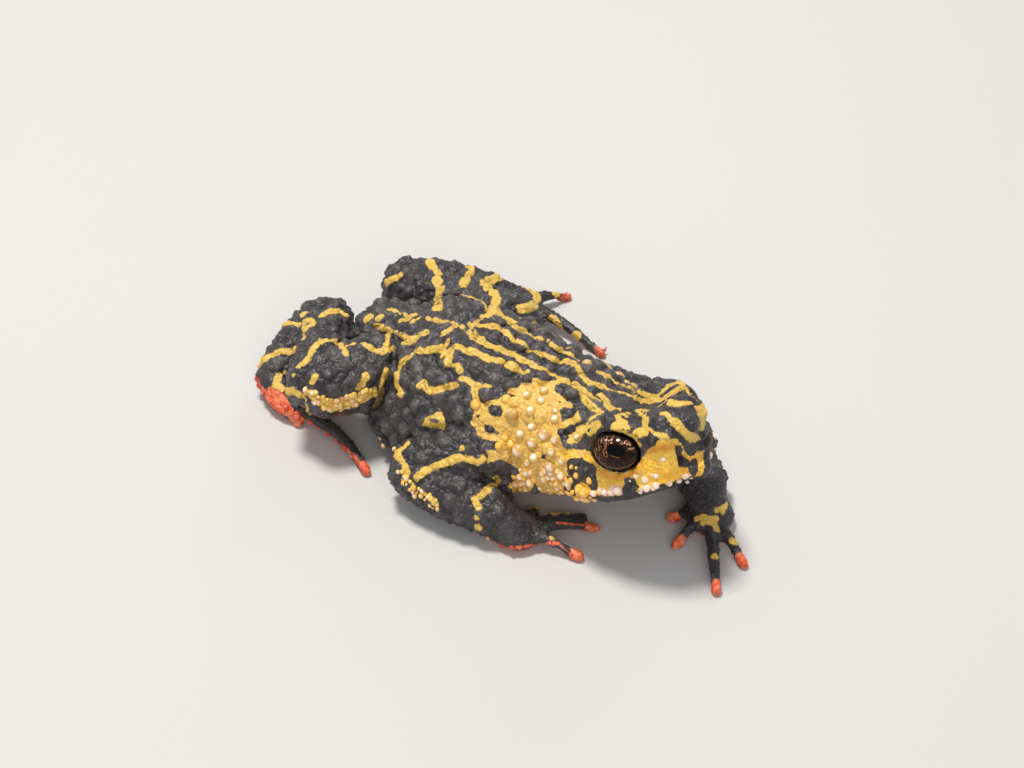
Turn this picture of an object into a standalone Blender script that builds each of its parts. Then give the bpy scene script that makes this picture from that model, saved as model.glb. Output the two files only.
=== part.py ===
"""A life-size model of a small warty toad, black and yellow, sitting with its head raised.

The toad faces +X, its left side is +Y, and it rests on the floor at Z = 0.
Lengths in this script are millimetres; each finished solid is scaled to metres at the end.
"""

import math
import random

import bmesh
import bpy
from mathutils import Matrix, Vector
from mathutils.bvhtree import BVHTree

# Scale and clearance
METRES_PER_MM = 0.001
GAP = 0.3
HALF_GAP = GAP / 2
OBJECT_NAME = "redbelly_toad"

# Body outline from vent to neck: x, top z, belly z, half width, widest height from the top
BODY_STATIONS = (
    (-12.9, 5.9, 3.1, 1.1, 0.50),
    (-11.9, 7.2, 1.7, 3.0, 0.56),
    (-9.6, 7.2, 0.7, 4.9, 0.68),
    (-6.0, 8.9, 0.0, 7.1, 0.76),
    (-1.5, 10.6, -0.2, 8.3, 0.78),
    (3.0, 11.2, -0.2, 7.8, 0.73),
    (7.5, 11.3, 0.9, 6.8, 0.68),
    (11.0, 11.1, 2.9, 5.9, 0.72),
    (14.0, 11.2, 4.6, 5.4, 0.74),
)
BODY_LEAN = 10.0
BODY_RINGS = 17
BODY_SIDES = 16
BODY_SQUARENESS = 0.95

# Head outline from neck to snout: top x, top z, throat x, throat z, half width, widest height, squareness
HEAD_STATIONS = (
    (10.4, 11.0, 11.4, 2.8, 5.9, 0.72, 0.98),
    (13.4, 11.2, 14.9, 4.6, 5.5, 0.76, 1.00),
    (15.5, 12.0, 17.5, 5.9, 5.3, 0.76, 0.98),
    (17.0, 12.9, 19.1, 6.9, 4.8, 0.74, 0.88),
    (18.2, 13.8, 20.2, 7.8, 4.2, 0.72, 0.80),
    (19.2, 14.5, 21.0, 8.6, 3.5, 0.70, 0.74),
    (20.1, 14.7, 21.5, 9.3, 2.8, 0.66, 0.74),
    (20.8, 14.3, 21.8, 10.1, 2.0, 0.60, 0.80),
    (21.4, 13.2, 21.8, 11.3, 0.9, 0.50, 1.0),
)
HEAD_RINGS = 17
HEAD_SIDES = 18
LIP_LINE = ((13.6, 5.4), (15.5, 6.5), (17.6, 7.7), (19.9, 8.85), (21.6, 9.7), (22.4, 10.1))
LIP_SWEEP = 128.0
LIP_CENTRE = Vector((16.0, 0.0, 0.0))
LIP_STEPS = 26
LIP_RADIUS = 0.42
LIP_END = 0.2
LIP_PULL = 4.0
LIP_SEARCHES = 4
LIP_SINK = 0.16
LIP_RISE = 0.42
MOUTH_GROOVE = 0.2
NOSTRIL = Vector((21.3, 1.45, 11.75))
NOSTRIL_RADII = Vector((0.39, 0.6, 0.3))
NECK_POINT = Vector((13.0, 0.0, 8.6))
NECK_NORMAL = Vector((math.cos(math.radians(13)), 0.0, math.sin(math.radians(13))))

# Eyes
EYE_CENTRE = Vector((17.3, 3.15, 11.3))
EYE_RADII = Vector((2.15, 1.85, 1.7))
EYE_TILT = math.radians(-22)
EYE_GAZE = Vector((0.28, 0.93, 0.24)).normalized()
LID_OFFSET = Vector((-0.35, -0.45, 0.0))
LID_RADII = Vector((2.95, 2.1, 2.15))
RIM_OFFSET = 0.15
RIM_RADII = Vector((2.65, 2.2, 1.35))

# Joints of the limbs, the tips of the digits, and how far the longest toe bows to its left
ARM_R = dict(
    shoulder=Vector((7.4, -4.6, 6.2)),
    elbow=Vector((0.5, -9.4, 3.1)),
    wrist=Vector((9.0, -8.0, 2.1)),
    palm=Vector((10.3, -7.4, 1.0)),
    tips=((9.6, -4.4), (13.0, -2.2), (14.4, -2.6), (15.5, -5.9)),
)
ARM_L = dict(
    shoulder=Vector((7.4, 4.6, 6.2)),
    elbow=Vector((11.0, 9.6, 2.9)),
    wrist=Vector((18.6, 5.8, 2.0)),
    palm=Vector((20.6, 4.2, 1.0)),
    tips=((18.2, 2.4), (20.4, 0.3), (25.9, -1.6), (25.7, 2.1)),
)
LEG_R = dict(
    hip=Vector((-6.6, -2.6, 5.4)),
    knee=Vector((-9.5, -9.8, 6.2)),
    ankle=Vector((-16.8, -1.0, 3.8)),
    instep=Vector((-16.5, -8.2, 1.8)),
    ball=Vector((-13.2, -8.9, 1.0)),
    tips=((-14.1, -6.0), (-12.6, -5.2), (-10.3, -5.0), (-3.8, -10.0), (-12.3, -9.5)),
    bow=0.65,
)
LEG_L = dict(
    hip=Vector((-6.6, 2.6, 5.4)),
    knee=Vector((-4.2, 9.4, 3.9)),
    ankle=Vector((-16.1, 7.1, 3.1)),
    instep=Vector((-10.2, 12.8, 1.9)),
    ball=Vector((-7.9, 14.3, 1.1)),
    tips=((-6.0, 12.4), (-4.4, 11.9), (-2.9, 11.9), (1.2, 14.1), (-6.1, 18.1)),
    bow=0.0,
)
# Limb radii, each from the upper joint to the lower one
UPPER_ARM_RADII = (2.4, 2.3, 2.0)
FOREARM_RADII = (2.1, 2.4, 1.8)
HAND_RADII = (1.75, 1.7, 1.5)
PALM_PAD = Vector((2.2, 2.1, 1.15))
PALM_REACH = 0.8
THIGH_RADII = (3.0, 3.0, 2.7)
SHANK_RADII = (2.3, 2.2, 2.1)
TARSUS_RADII = (2.3, 2.3, 1.6)
FOOT_RADII = (1.5, 1.35, 1.1)
SOLE_PAD = Vector((2.9, 1.7, 1.1))
SOLE_REACH = 0.6
SOLE_DROP = 0.3
FINGER_RADIUS = 0.52
TOE_RADIUS = 0.55
LONGEST_TOE = 3
DIGIT_ARCH = 0.7
DOME_STEPS = (0.7, 0.98)

# Warts: how many, radii from and to, least distance between centres, and where they grow.
# The place is a range along X and a range of turns from straight up toward the toad's left.
WART_SEED = 11
WART_RISE = 0.5
WART_SINK = 0.1
WART_TRIES = 4000
WART_SEGMENTS = 7
WART_RINGS = 5
BACK_WARTS = dict(count=42, radii=(0.55, 0.95), spacing=1.9, along=(-10.8, 11.0), turns=(-76, 76))
GLAND_LEFT = dict(count=13, radii=(0.42, 0.7), spacing=1.25, along=(6.6, 12.0), turns=(38, 78))
GLAND_RIGHT = dict(count=13, radii=(0.42, 0.7), spacing=1.25, along=(6.6, 12.0), turns=(-78, -38))
CHEEK_LEFT = dict(count=8, radii=(0.3, 0.44), spacing=0.95, along=(13.9, 17.2), turns=(78, 118))
CHEEK_RIGHT = dict(count=8, radii=(0.3, 0.44), spacing=0.95, along=(13.9, 17.2), turns=(-118, -78))
NECK_MARGIN = 0.5
AXIS_SLOPE = ((0.0, 5.0), (13.0, 6.6), (20.0, 10.2))
OUTSIDE = 20.0


# Colours, roughness
SKIN_BLACK = (0.045, 0.045, 0.05)
SKIN_ROUGHNESS = 0.7
EYE_BROWN = (0.05, 0.025, 0.015)
EYE_ROUGHNESS = 0.08


# Small helpers

def clear_scene():
    """Remove whatever the file holds before the model is made."""
    for item in list(bpy.data.objects):
        bpy.data.objects.remove(item, do_unlink=True)


def new_collection(name):
    """A collection of the given name, linked to the scene."""
    collection = bpy.data.collections.new(name)
    bpy.context.scene.collection.children.link(collection)
    return collection


def add_mesh(name, bm):
    """Turn a bmesh into an object with outward faces."""
    bmesh.ops.recalc_face_normals(bm, faces=bm.faces)
    mesh = bpy.data.meshes.new(name)
    bm.to_mesh(mesh)
    bm.free()
    item = bpy.data.objects.new(name, mesh)
    bpy.context.scene.collection.objects.link(item)
    return item


def through(points, steps):
    """Points of a smooth curve through the given ones, a number of steps for each span."""
    points = [Vector(p) for p in points]
    last = len(points) - 1
    result = []
    for i in range(last):
        before = points[i - 1] if i else points[0] * 2 - points[1]
        after = points[i + 2] if i + 2 <= last else points[last] * 2 - points[last - 1]
        start, end = points[i], points[i + 1]
        for k in range(steps):
            t = k / steps
            result.append(0.5 * (
                2 * start + (end - before) * t
                + (2 * before - 5 * start + 4 * end - after) * t ** 2
                + (3 * start - before - 3 * end + after) * t ** 3))
    result.append(points[last])
    return result


def resample(rows, count):
    """Rows of equal length read at even steps from the smooth curves through them."""
    steps = 16
    columns = list(zip(*rows))
    dense = [[v[0] for v in through([(value, 0, 0) for value in column], steps)] for column in columns]
    last = len(dense[0]) - 1
    picked = []
    for i in range(count):
        place = i * last / (count - 1)
        low = min(int(place), last - 1)
        share = place - low
        picked.append([column[low] * (1 - share) + column[low + 1] * share for column in dense])
    return picked


def oval_ring(top, bottom, half_width, widest, squareness, sides):
    """A closed ring between a top and a bottom point, widest at a share of its height."""
    centre = top.lerp(bottom, widest)
    ring = []
    for k in range(sides):
        turn = 2 * math.pi * k / sides
        c, s = math.cos(turn), math.sin(turn)
        side = math.copysign(abs(c) ** squareness, c) * half_width
        rise = abs(s) ** squareness
        reach = (top if s > 0 else bottom) - centre
        ring.append(centre + reach * rise + Vector((0, side, 0)))
    return ring


def skin_rings(name, rings, levels):
    """A closed body through rings of equal count, rounded by a subdivision surface."""
    bm = bmesh.new()
    loops = [[bm.verts.new(p) for p in ring] for ring in rings]
    for near, far in zip(loops, loops[1:]):
        for k in range(len(near)):
            nxt = (k + 1) % len(near)
            bm.faces.new((near[k], near[nxt], far[nxt], far[k]))
    for loop in (loops[0], loops[-1]):
        centre = bm.verts.new(sum((v.co for v in loop), Vector()) / len(loop))
        for k in range(len(loop)):
            bm.faces.new((loop[k], loop[(k + 1) % len(loop)], centre))
    item = add_mesh(name, bm)
    smooth = item.modifiers.new("Round", "SUBSURF")
    smooth.levels = levels
    smooth.render_levels = levels
    return apply_modifiers(item)


def apply_modifiers(item):
    """Replace an object's mesh by its evaluated one."""
    bpy.context.view_layer.update()
    mesh = bpy.data.meshes.new_from_object(item.evaluated_get(bpy.context.evaluated_depsgraph_get()))
    item.modifiers.clear()
    item.data = mesh
    return item


def tube(name, points, radii, steps=3, resolution=4, blunt=0.6):
    """A closed tube of round section along a smooth curve, its ends domed."""
    rows = [tuple(p) + (r,) for p, r in zip(points, radii)]
    count = (len(points) - 1) * steps + 1
    rows = resample(rows, count)
    centres = [Vector(row[:3]) for row in rows]
    sizes = [row[3] for row in rows]
    first = (centres[0] - centres[1]).normalized()
    final = (centres[-1] - centres[-2]).normalized()
    start = [(centres[0] + first * sizes[0] * blunt * k, sizes[0] * math.sqrt(1 - k * k)) for k in DOME_STEPS]
    finish = [(centres[-1] + final * sizes[-1] * blunt * k, sizes[-1] * math.sqrt(1 - k * k)) for k in DOME_STEPS]
    path = start[::-1] + list(zip(centres, sizes)) + finish
    curve = bpy.data.curves.new(name, "CURVE")
    curve.dimensions = "3D"
    curve.bevel_depth = 1.0
    curve.bevel_resolution = resolution
    curve.use_fill_caps = True
    spline = curve.splines.new("POLY")
    spline.points.add(len(path) - 1)
    for point, (place, size) in zip(spline.points, path):
        point.co = (*place, 1)
        point.radius = size
    guide = bpy.data.objects.new(name + "_curve", curve)
    bpy.context.scene.collection.objects.link(guide)
    bpy.context.view_layer.update()
    mesh = bpy.data.meshes.new_from_object(guide.evaluated_get(bpy.context.evaluated_depsgraph_get()))
    bpy.data.objects.remove(guide, do_unlink=True)
    bm = bmesh.new()
    bm.from_mesh(mesh)
    bpy.data.meshes.remove(mesh)
    bmesh.ops.remove_doubles(bm, verts=bm.verts, dist=0.0001)
    return add_mesh(name, bm)


def ball(name, centre, radii, turn=None, segments=16, rings=10):
    """A UV sphere scaled to three radii and turned."""
    bm = bmesh.new()
    bmesh.ops.create_uvsphere(bm, u_segments=segments, v_segments=rings, radius=1.0)
    place = Matrix.Translation(centre)
    if turn is not None:
        place = place @ turn.to_4x4()
    place = place @ Matrix.Diagonal((*radii, 1))
    bmesh.ops.transform(bm, matrix=place, verts=bm.verts)
    return add_mesh(name, bm)


def boolean(item, operands, operation, solver="EXACT"):
    """One Boolean of an object with a list of closed objects, which are then removed."""
    pool = bpy.data.collections.new("operands")
    for operand in operands:
        pool.objects.link(operand)
    cut = item.modifiers.new("Boolean", "BOOLEAN")
    cut.operation = operation
    cut.solver = solver
    cut.operand_type = "COLLECTION"
    cut.collection = pool
    apply_modifiers(item)
    for operand in operands:
        bpy.data.objects.remove(operand, do_unlink=True)
    bpy.data.collections.remove(pool)
    return item


def copy_of(item, name, grow=0.0):
    """A copy of a closed object, its surface moved out by an amount."""
    double = bpy.data.objects.new(name, item.data.copy())
    bpy.context.scene.collection.objects.link(double)
    if grow:
        swell = double.modifiers.new("Swell", "DISPLACE")
        swell.strength = grow
        swell.mid_level = 0.0
        apply_modifiers(double)
    return double


def keep_side(item, point, normal):
    """Cut an object by a plane, keep the side against the normal, and close it."""
    bm = bmesh.new()
    bm.from_mesh(item.data)
    geometry = bm.verts[:] + bm.edges[:] + bm.faces[:]
    cut = bmesh.ops.bisect_plane(
        bm, geom=geometry, dist=0.0001, plane_co=point, plane_no=normal, clear_outer=True)
    edges = [e for e in cut["geom_cut"] if isinstance(e, bmesh.types.BMEdge)]
    if edges:
        bmesh.ops.contextual_create(bm, geom=edges)
    bmesh.ops.recalc_face_normals(bm, faces=bm.faces)
    bm.to_mesh(item.data)
    bm.free()
    return item


def part_joint(upper, lower, before, joint, after):
    """Part two segments at a bent joint by the plane that halves its angle."""
    toward = (before - joint).normalized()
    away = (after - joint).normalized()
    normal = (toward - away).normalized()
    keep_side(upper, joint + normal * HALF_GAP, -normal)
    keep_side(lower, joint - normal * HALF_GAP, normal)


def on_floor(item):
    """Cut off whatever reaches below the floor, which leaves a small flat."""
    return keep_side(item, Vector((0, 0, 0)), Vector((0, 0, -1)))


def largest_body(item):
    """Keep only the largest closed surface of an object."""
    bm = bmesh.new()
    bm.from_mesh(item.data)
    seen = set()
    groups = []
    for face in bm.faces:
        if face in seen:
            continue
        group = [face]
        seen.add(face)
        for member in group:
            for edge in member.edges:
                for other in edge.link_faces:
                    if other not in seen:
                        seen.add(other)
                        group.append(other)
        groups.append(group)
    groups.sort(key=lambda g: sum(f.calc_area() for f in g))
    for group in groups[:-1]:
        bmesh.ops.delete(bm, geom=group, context="FACES")
    loose = [v for v in bm.verts if not v.link_faces]
    bmesh.ops.delete(bm, geom=loose, context="VERTS")
    bm.to_mesh(item.data)
    bm.free()
    return item


# Warts

def surface_tree(item):
    """A search tree of an object's faces."""
    bm = bmesh.new()
    bm.from_mesh(item.data)
    tree = BVHTree.FromBMesh(bm)
    bm.free()
    return tree


def axis_height(x):
    """Height of the line through the middle of body and head."""
    for (x0, z0), (x1, z1) in zip(AXIS_SLOPE, AXIS_SLOPE[1:]):
        if x <= x1:
            return z0 + (z1 - z0) * max(x - x0, 0) / (x1 - x0)
    return AXIS_SLOPE[-1][1]


def clear_of_bars(place, reach, bars):
    """Whether a place keeps a distance from bars, each a start, an end and a radius."""
    for start, end, radius in bars:
        along = end - start
        share = min(max((place - start).dot(along) / along.length_squared, 0), 1)
        if (place - start.lerp(end, share)).length < radius + reach:
            return False
    return True


def scatter_warts(host, kinds, bars, seed):
    """Low domes on a surface, sunk into it, where rays drawn at random meet it."""
    tree = surface_tree(host)
    rng = random.Random(seed)
    taken = []
    warts = []
    for kind in kinds:
        left = kind["count"]
        for _ in range(WART_TRIES):
            x = rng.uniform(*kind["along"])
            turn = math.radians(rng.uniform(*kind["turns"]))
            radius = rng.uniform(*kind["radii"])
            way = Vector((0, math.sin(turn), math.cos(turn)))
            middle = Vector((x, 0, axis_height(x)))
            place, normal, _, _ = tree.ray_cast(middle + way * OUTSIDE, -way)
            off_neck = abs((place - NECK_POINT).dot(NECK_NORMAL)) - radius
            apart = all((place - other).length > max(kind["spacing"], radius + size) for other, size in taken)
            if not apart or off_neck < NECK_MARGIN or not clear_of_bars(place, radius + GAP, bars):
                continue
            taken.append((place, radius))
            lean = normal.to_track_quat("Z", "X").to_matrix()
            radii = (radius, radius, radius * (WART_RISE + WART_SINK))
            sunk = place - normal * radius * WART_SINK
            warts.append(ball("wart", sunk, radii, turn=lean, segments=WART_SEGMENTS, rings=WART_RINGS))
            left -= 1
            if not left:
                break
    return warts


# Body and head

def make_torso():
    rings = []
    lean = math.tan(math.radians(BODY_LEAN))
    for x, top, belly, half_width, widest in resample(BODY_STATIONS, BODY_RINGS):
        middle = (top + belly) / 2
        above = Vector((x - (top - middle) * lean, 0, top))
        below = Vector((x + (middle - belly) * lean * 0.4, 0, belly))
        rings.append(oval_ring(above, below, half_width, widest, BODY_SQUARENESS, BODY_SIDES))
    torso = skin_rings("torso", rings, 1)
    keep_side(torso, NECK_POINT - NECK_NORMAL * HALF_GAP, NECK_NORMAL)
    return on_floor(torso)


def lip_height(x):
    """Height of the mouth line at a place along the head."""
    for (x0, z0), (x1, z1) in zip(LIP_LINE, LIP_LINE[1:]):
        if x < x1 or x1 == LIP_LINE[-1][0]:
            return z0 + (z1 - z0) * (x - x0) / (x1 - x0)
    return LIP_LINE[-1][1]


def mouth_path(head, rise, sink):
    """Points round the jaws on the head's surface, a little above the mouth line and under the skin."""
    tree = surface_tree(head)
    path = []
    for k in range(LIP_STEPS + 1):
        turn = math.radians(LIP_SWEEP * (2 * k / LIP_STEPS - 1))
        way = Vector((math.cos(turn), math.sin(turn), 0))
        x = LIP_CENTRE.x + LIP_PULL * way.x
        for _ in range(LIP_SEARCHES):
            start = LIP_CENTRE + way * OUTSIDE + Vector((0, 0, lip_height(x) + rise))
            hit, normal, _, _ = tree.ray_cast(start, -way)
            x = hit.x
        path.append(hit - normal * sink)
    return path


def head_bars(lip):
    """What the cheek's granules keep clear of: both eyes with their lids, and the lip."""
    bars = []
    for side in (1, -1):
        eye = Vector((EYE_CENTRE.x, EYE_CENTRE.y * side, EYE_CENTRE.z))
        bars.append((eye, eye + Vector((0.1, 0, 0)), LID_RADII.x))
    for near, far in zip(lip, lip[1:]):
        bars.append((near, far, LIP_RADIUS))
    return bars


def make_head():
    rings = []
    for top_x, top_z, low_x, low_z, half_width, widest, squareness in resample(HEAD_STATIONS, HEAD_RINGS):
        top, low = Vector((top_x, 0, top_z)), Vector((low_x, 0, low_z))
        rings.append(oval_ring(top, low, half_width, widest, squareness, HEAD_SIDES))
    head = skin_rings("head", rings, 1)
    lip = mouth_path(head, LIP_RISE, LIP_SINK)
    groove = mouth_path(head, 0.0, 0.0)
    lip_sizes = [LIP_END] + [LIP_RADIUS] * (len(lip) - 2) + [LIP_END]
    added = [tube("lip", lip, lip_sizes, steps=1, resolution=2)]
    added += scatter_warts(head, (CHEEK_LEFT, CHEEK_RIGHT), head_bars(lip), WART_SEED)
    cuts = [tube("groove", groove[1:-1], [MOUTH_GROOVE] * (len(groove) - 2), steps=1, resolution=1)]
    for side in (1, -1):
        centre = EYE_CENTRE.copy()
        centre.y *= side
        gaze = EYE_GAZE.copy()
        gaze.y *= side
        tilt = Matrix.Rotation(EYE_TILT, 3, "Y")
        lid = centre + Vector((LID_OFFSET.x, LID_OFFSET.y * side, LID_OFFSET.z))
        added.append(ball("lid", lid, LID_RADII, turn=tilt))
        across = Matrix.Rotation(math.radians(90), 3, "X")
        rim = ball("rim", centre + gaze * RIM_OFFSET, RIM_RADII, turn=tilt @ across)
        added.append(rim)
        room = EYE_RADII + Vector((GAP, GAP, GAP))
        cuts.append(ball("socket", centre, room, turn=tilt, segments=20, rings=14))
        nostril = NOSTRIL.copy()
        nostril.y *= side
        cuts.append(ball("nostril", nostril, NOSTRIL_RADII, segments=10, rings=8))
    boolean(head, added, "UNION")
    boolean(head, cuts, "DIFFERENCE")
    keep_side(head, NECK_POINT + NECK_NORMAL * HALF_GAP, -NECK_NORMAL)
    return largest_body(head)


def make_eye(side, name):
    centre = EYE_CENTRE.copy()
    centre.y *= side
    return ball(name, centre, EYE_RADII, turn=Matrix.Rotation(EYE_TILT, 3, "Y"), segments=20, rings=14)


# Limbs

def digit(name, root, tip, radius, bow=0.0):
    """A finger or toe from inside its palm to a round tip on the floor, bowed to its left by a length."""
    root, tip = Vector(root), Vector((*tip, radius * 0.92))
    along = tip - root
    left = Vector((-along.y, along.x, 0)).normalized() * bow
    knuckle = root.lerp(tip, 0.45) + left + Vector((0, 0, DIGIT_ARCH * 0.45))
    last = root.lerp(tip, 0.82) + left * 0.55 + Vector((0, 0, DIGIT_ARCH * 0.1))
    radii = [radius * 1.3, radius * 1.05, radius * 0.9, radius]
    return tube(name, [root, knuckle, last, tip], radii, steps=2, resolution=2, blunt=1.0)


def make_hand(name, arm):
    """A palm with four fingers."""
    wrist, palm = arm["wrist"], arm["palm"]
    forward = (palm - wrist).normalized()
    turn = Vector((forward.x, forward.y, 0)).to_track_quat("X", "Z").to_matrix()
    hand = tube(name, [wrist, wrist.lerp(palm, 0.6), palm + forward * PALM_REACH], HAND_RADII, steps=2)
    pad = ball("pad", palm, PALM_PAD, turn=turn)
    fingers = []
    for k, tip in enumerate(arm["tips"]):
        root = palm.lerp(Vector((*tip, palm.z)), 0.12)
        fingers.append(digit("finger%d" % k, root, tip, FINGER_RADIUS))
    return boolean(hand, [pad] + fingers, "UNION")


def make_foot(name, leg):
    """A sole with five toes, from the instep forward."""
    instep, sole = leg["instep"], leg["ball"]
    forward = (sole - instep).normalized()
    turn = Vector((forward.x, forward.y, 0)).to_track_quat("X", "Z").to_matrix()
    foot = tube(name, [instep, instep.lerp(sole, 0.5), sole + forward * SOLE_REACH], FOOT_RADII, steps=2)
    pad = ball("pad", instep.lerp(sole, 0.55) - Vector((0, 0, SOLE_DROP)), SOLE_PAD, turn=turn)
    toes = []
    for k, tip in enumerate(leg["tips"]):
        root = sole.lerp(Vector((*tip, sole.z)), 0.05)
        bow = leg["bow"] if k == LONGEST_TOE else 0.0
        toes.append(digit("toe%d" % k, root, tip, TOE_RADIUS, bow))
    return boolean(foot, [pad] + toes, "UNION")


def make_arm(arm, letter, torso):
    shoulder, elbow, wrist, palm = arm["shoulder"], arm["elbow"], arm["wrist"], arm["palm"]
    upper = tube("upper_arm_" + letter, [shoulder, shoulder.lerp(elbow, 0.5), elbow], UPPER_ARM_RADII)
    fore = tube("forearm_" + letter, [elbow, elbow.lerp(wrist, 0.45), wrist], FOREARM_RADII)
    hand = make_hand("hand_" + letter, arm)
    part_joint(upper, fore, shoulder, elbow, wrist)
    part_joint(fore, hand, elbow, wrist, palm)
    for piece in (upper, fore):
        boolean(piece, [copy_of(torso, "swell", GAP)], "DIFFERENCE")
    return [largest_body(on_floor(piece)) for piece in (upper, fore, hand)]


def make_leg(leg, letter, torso):
    hip, knee, ankle, instep, sole = leg["hip"], leg["knee"], leg["ankle"], leg["instep"], leg["ball"]
    thigh = tube("thigh_" + letter, [hip, hip.lerp(knee, 0.5), knee], THIGH_RADII)
    shank = tube("shank_" + letter, [knee, knee.lerp(ankle, 0.4), ankle], SHANK_RADII)
    tarsus = tube("tarsus_" + letter, [ankle, ankle.lerp(instep, 0.5), instep], TARSUS_RADII)
    foot = make_foot("foot_" + letter, leg)
    part_joint(thigh, shank, hip, knee, ankle)
    part_joint(shank, tarsus, knee, ankle, instep)
    part_joint(tarsus, foot, ankle, instep, sole)
    for piece in (thigh, shank):
        boolean(piece, [copy_of(torso, "swell", GAP)], "DIFFERENCE")
    return [largest_body(on_floor(piece)) for piece in (thigh, shank, tarsus, foot)]


def finish_piece(piece, collection):
    """Give a piece its own material, scale it to metres and file it in the toad's collection."""
    is_eye = piece.name.startswith("eye")
    surface = bpy.data.materials.new(piece.name)
    surface.use_nodes = True
    shader = surface.node_tree.nodes["Principled BSDF"]
    shader.inputs["Base Color"].default_value = (*(EYE_BROWN if is_eye else SKIN_BLACK), 1)
    shader.inputs["Roughness"].default_value = EYE_ROUGHNESS if is_eye else SKIN_ROUGHNESS
    shader.inputs["Metallic"].default_value = 0.0
    piece.data.materials.clear()
    piece.data.materials.append(surface)
    piece.data.transform(Matrix.Scale(METRES_PER_MM, 4))
    piece.data.shade_smooth()
    for owner in list(piece.users_collection):
        owner.objects.unlink(piece)
    collection.objects.link(piece)


def body_bars():
    """What the back's warts keep clear of: the limbs' segments beside the body."""
    bars = []
    for arm in (ARM_L, ARM_R):
        bars.append((arm["shoulder"], arm["elbow"], max(UPPER_ARM_RADII)))
        bars.append((arm["elbow"], arm["wrist"], max(FOREARM_RADII)))
    for leg in (LEG_L, LEG_R):
        bars.append((leg["hip"], leg["knee"], max(THIGH_RADII)))
        bars.append((leg["knee"], leg["ankle"], max(SHANK_RADII)))
    return bars


def main():
    clear_scene()
    collection = new_collection(OBJECT_NAME)
    torso = make_torso()
    pieces = [torso, make_head(), make_eye(1, "eye_L"), make_eye(-1, "eye_R")]
    pieces += make_arm(ARM_L, "L", torso)
    pieces += make_arm(ARM_R, "R", torso)
    pieces += make_leg(LEG_L, "L", torso)
    pieces += make_leg(LEG_R, "R", torso)
    warts = scatter_warts(torso, (GLAND_LEFT, GLAND_RIGHT, BACK_WARTS), body_bars(), WART_SEED)
    largest_body(boolean(torso, warts, "UNION"))
    for piece in pieces:
        finish_piece(piece, collection)


if __name__ == "__main__":
    main()
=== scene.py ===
import math
import random

import bmesh
import bpy
import numpy as np
from bpy.props import FloatProperty, FloatVectorProperty, IntProperty, PointerProperty
from bpy.types import Operator, Panel, PropertyGroup
from bpy.utils import register_class, unregister_class
from mathutils import Matrix, Vector
from mathutils.bvhtree import BVHTree
from mathutils.kdtree import KDTree


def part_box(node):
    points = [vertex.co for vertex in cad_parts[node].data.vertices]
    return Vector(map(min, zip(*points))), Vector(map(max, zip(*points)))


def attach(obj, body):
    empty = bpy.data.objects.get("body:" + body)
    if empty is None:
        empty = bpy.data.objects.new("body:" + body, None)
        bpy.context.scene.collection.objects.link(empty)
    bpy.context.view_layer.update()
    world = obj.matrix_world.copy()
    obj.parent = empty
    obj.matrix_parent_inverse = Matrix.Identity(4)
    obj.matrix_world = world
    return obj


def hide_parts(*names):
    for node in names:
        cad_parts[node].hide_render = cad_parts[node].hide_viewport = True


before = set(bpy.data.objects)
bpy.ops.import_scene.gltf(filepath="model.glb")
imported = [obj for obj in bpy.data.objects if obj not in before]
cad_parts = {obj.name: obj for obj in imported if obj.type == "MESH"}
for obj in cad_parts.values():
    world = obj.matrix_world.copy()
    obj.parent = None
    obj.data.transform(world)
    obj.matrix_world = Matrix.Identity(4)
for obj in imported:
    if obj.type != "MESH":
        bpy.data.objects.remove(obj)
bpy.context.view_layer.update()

bl_info = {
    "name": "Redbelly Toad",
    "version": (1, 0, 0),
    "blender": (4, 5, 0),
    "location": "View3D > Sidebar > Toad",
    "description": "Dresses a packed toad with its warty skin, eyes, pearls, stage and camera",
    "category": "Object",
}

MM = 0.001

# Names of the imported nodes
SIDES = ("L", "R")
EYES = ("eye_L", "eye_R")
ARM_NODES = ("upper_arm", "forearm", "hand")
LEG_NODES = ("thigh", "shank", "tarsus", "foot")
FLESH = ["torso", "head"] + [f"{part}_{side}" for part in ARM_NODES + LEG_NODES for side in SIDES]
TRUNK = ("torso", "head")

# The photograph's frame and the view it was taken from
IMAGE_WIDTH = 1024
IMAGE_HEIGHT = 768
SENSOR = 36.0
VIEW_AZIMUTH = 41.6
VIEW_ELEVATION = 41.4
VIEW_DISTANCE = 0.190
FOCAL_PIXELS = 2356.0
CLIP_START = 0.01
ANCHOR = Vector((0.005, 0.0, 0.0065))
ANCHOR_PIXEL = (528, 402)
PIXELS_PER_MM = FOCAL_PIXELS / (VIEW_DISTANCE / MM)

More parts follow.
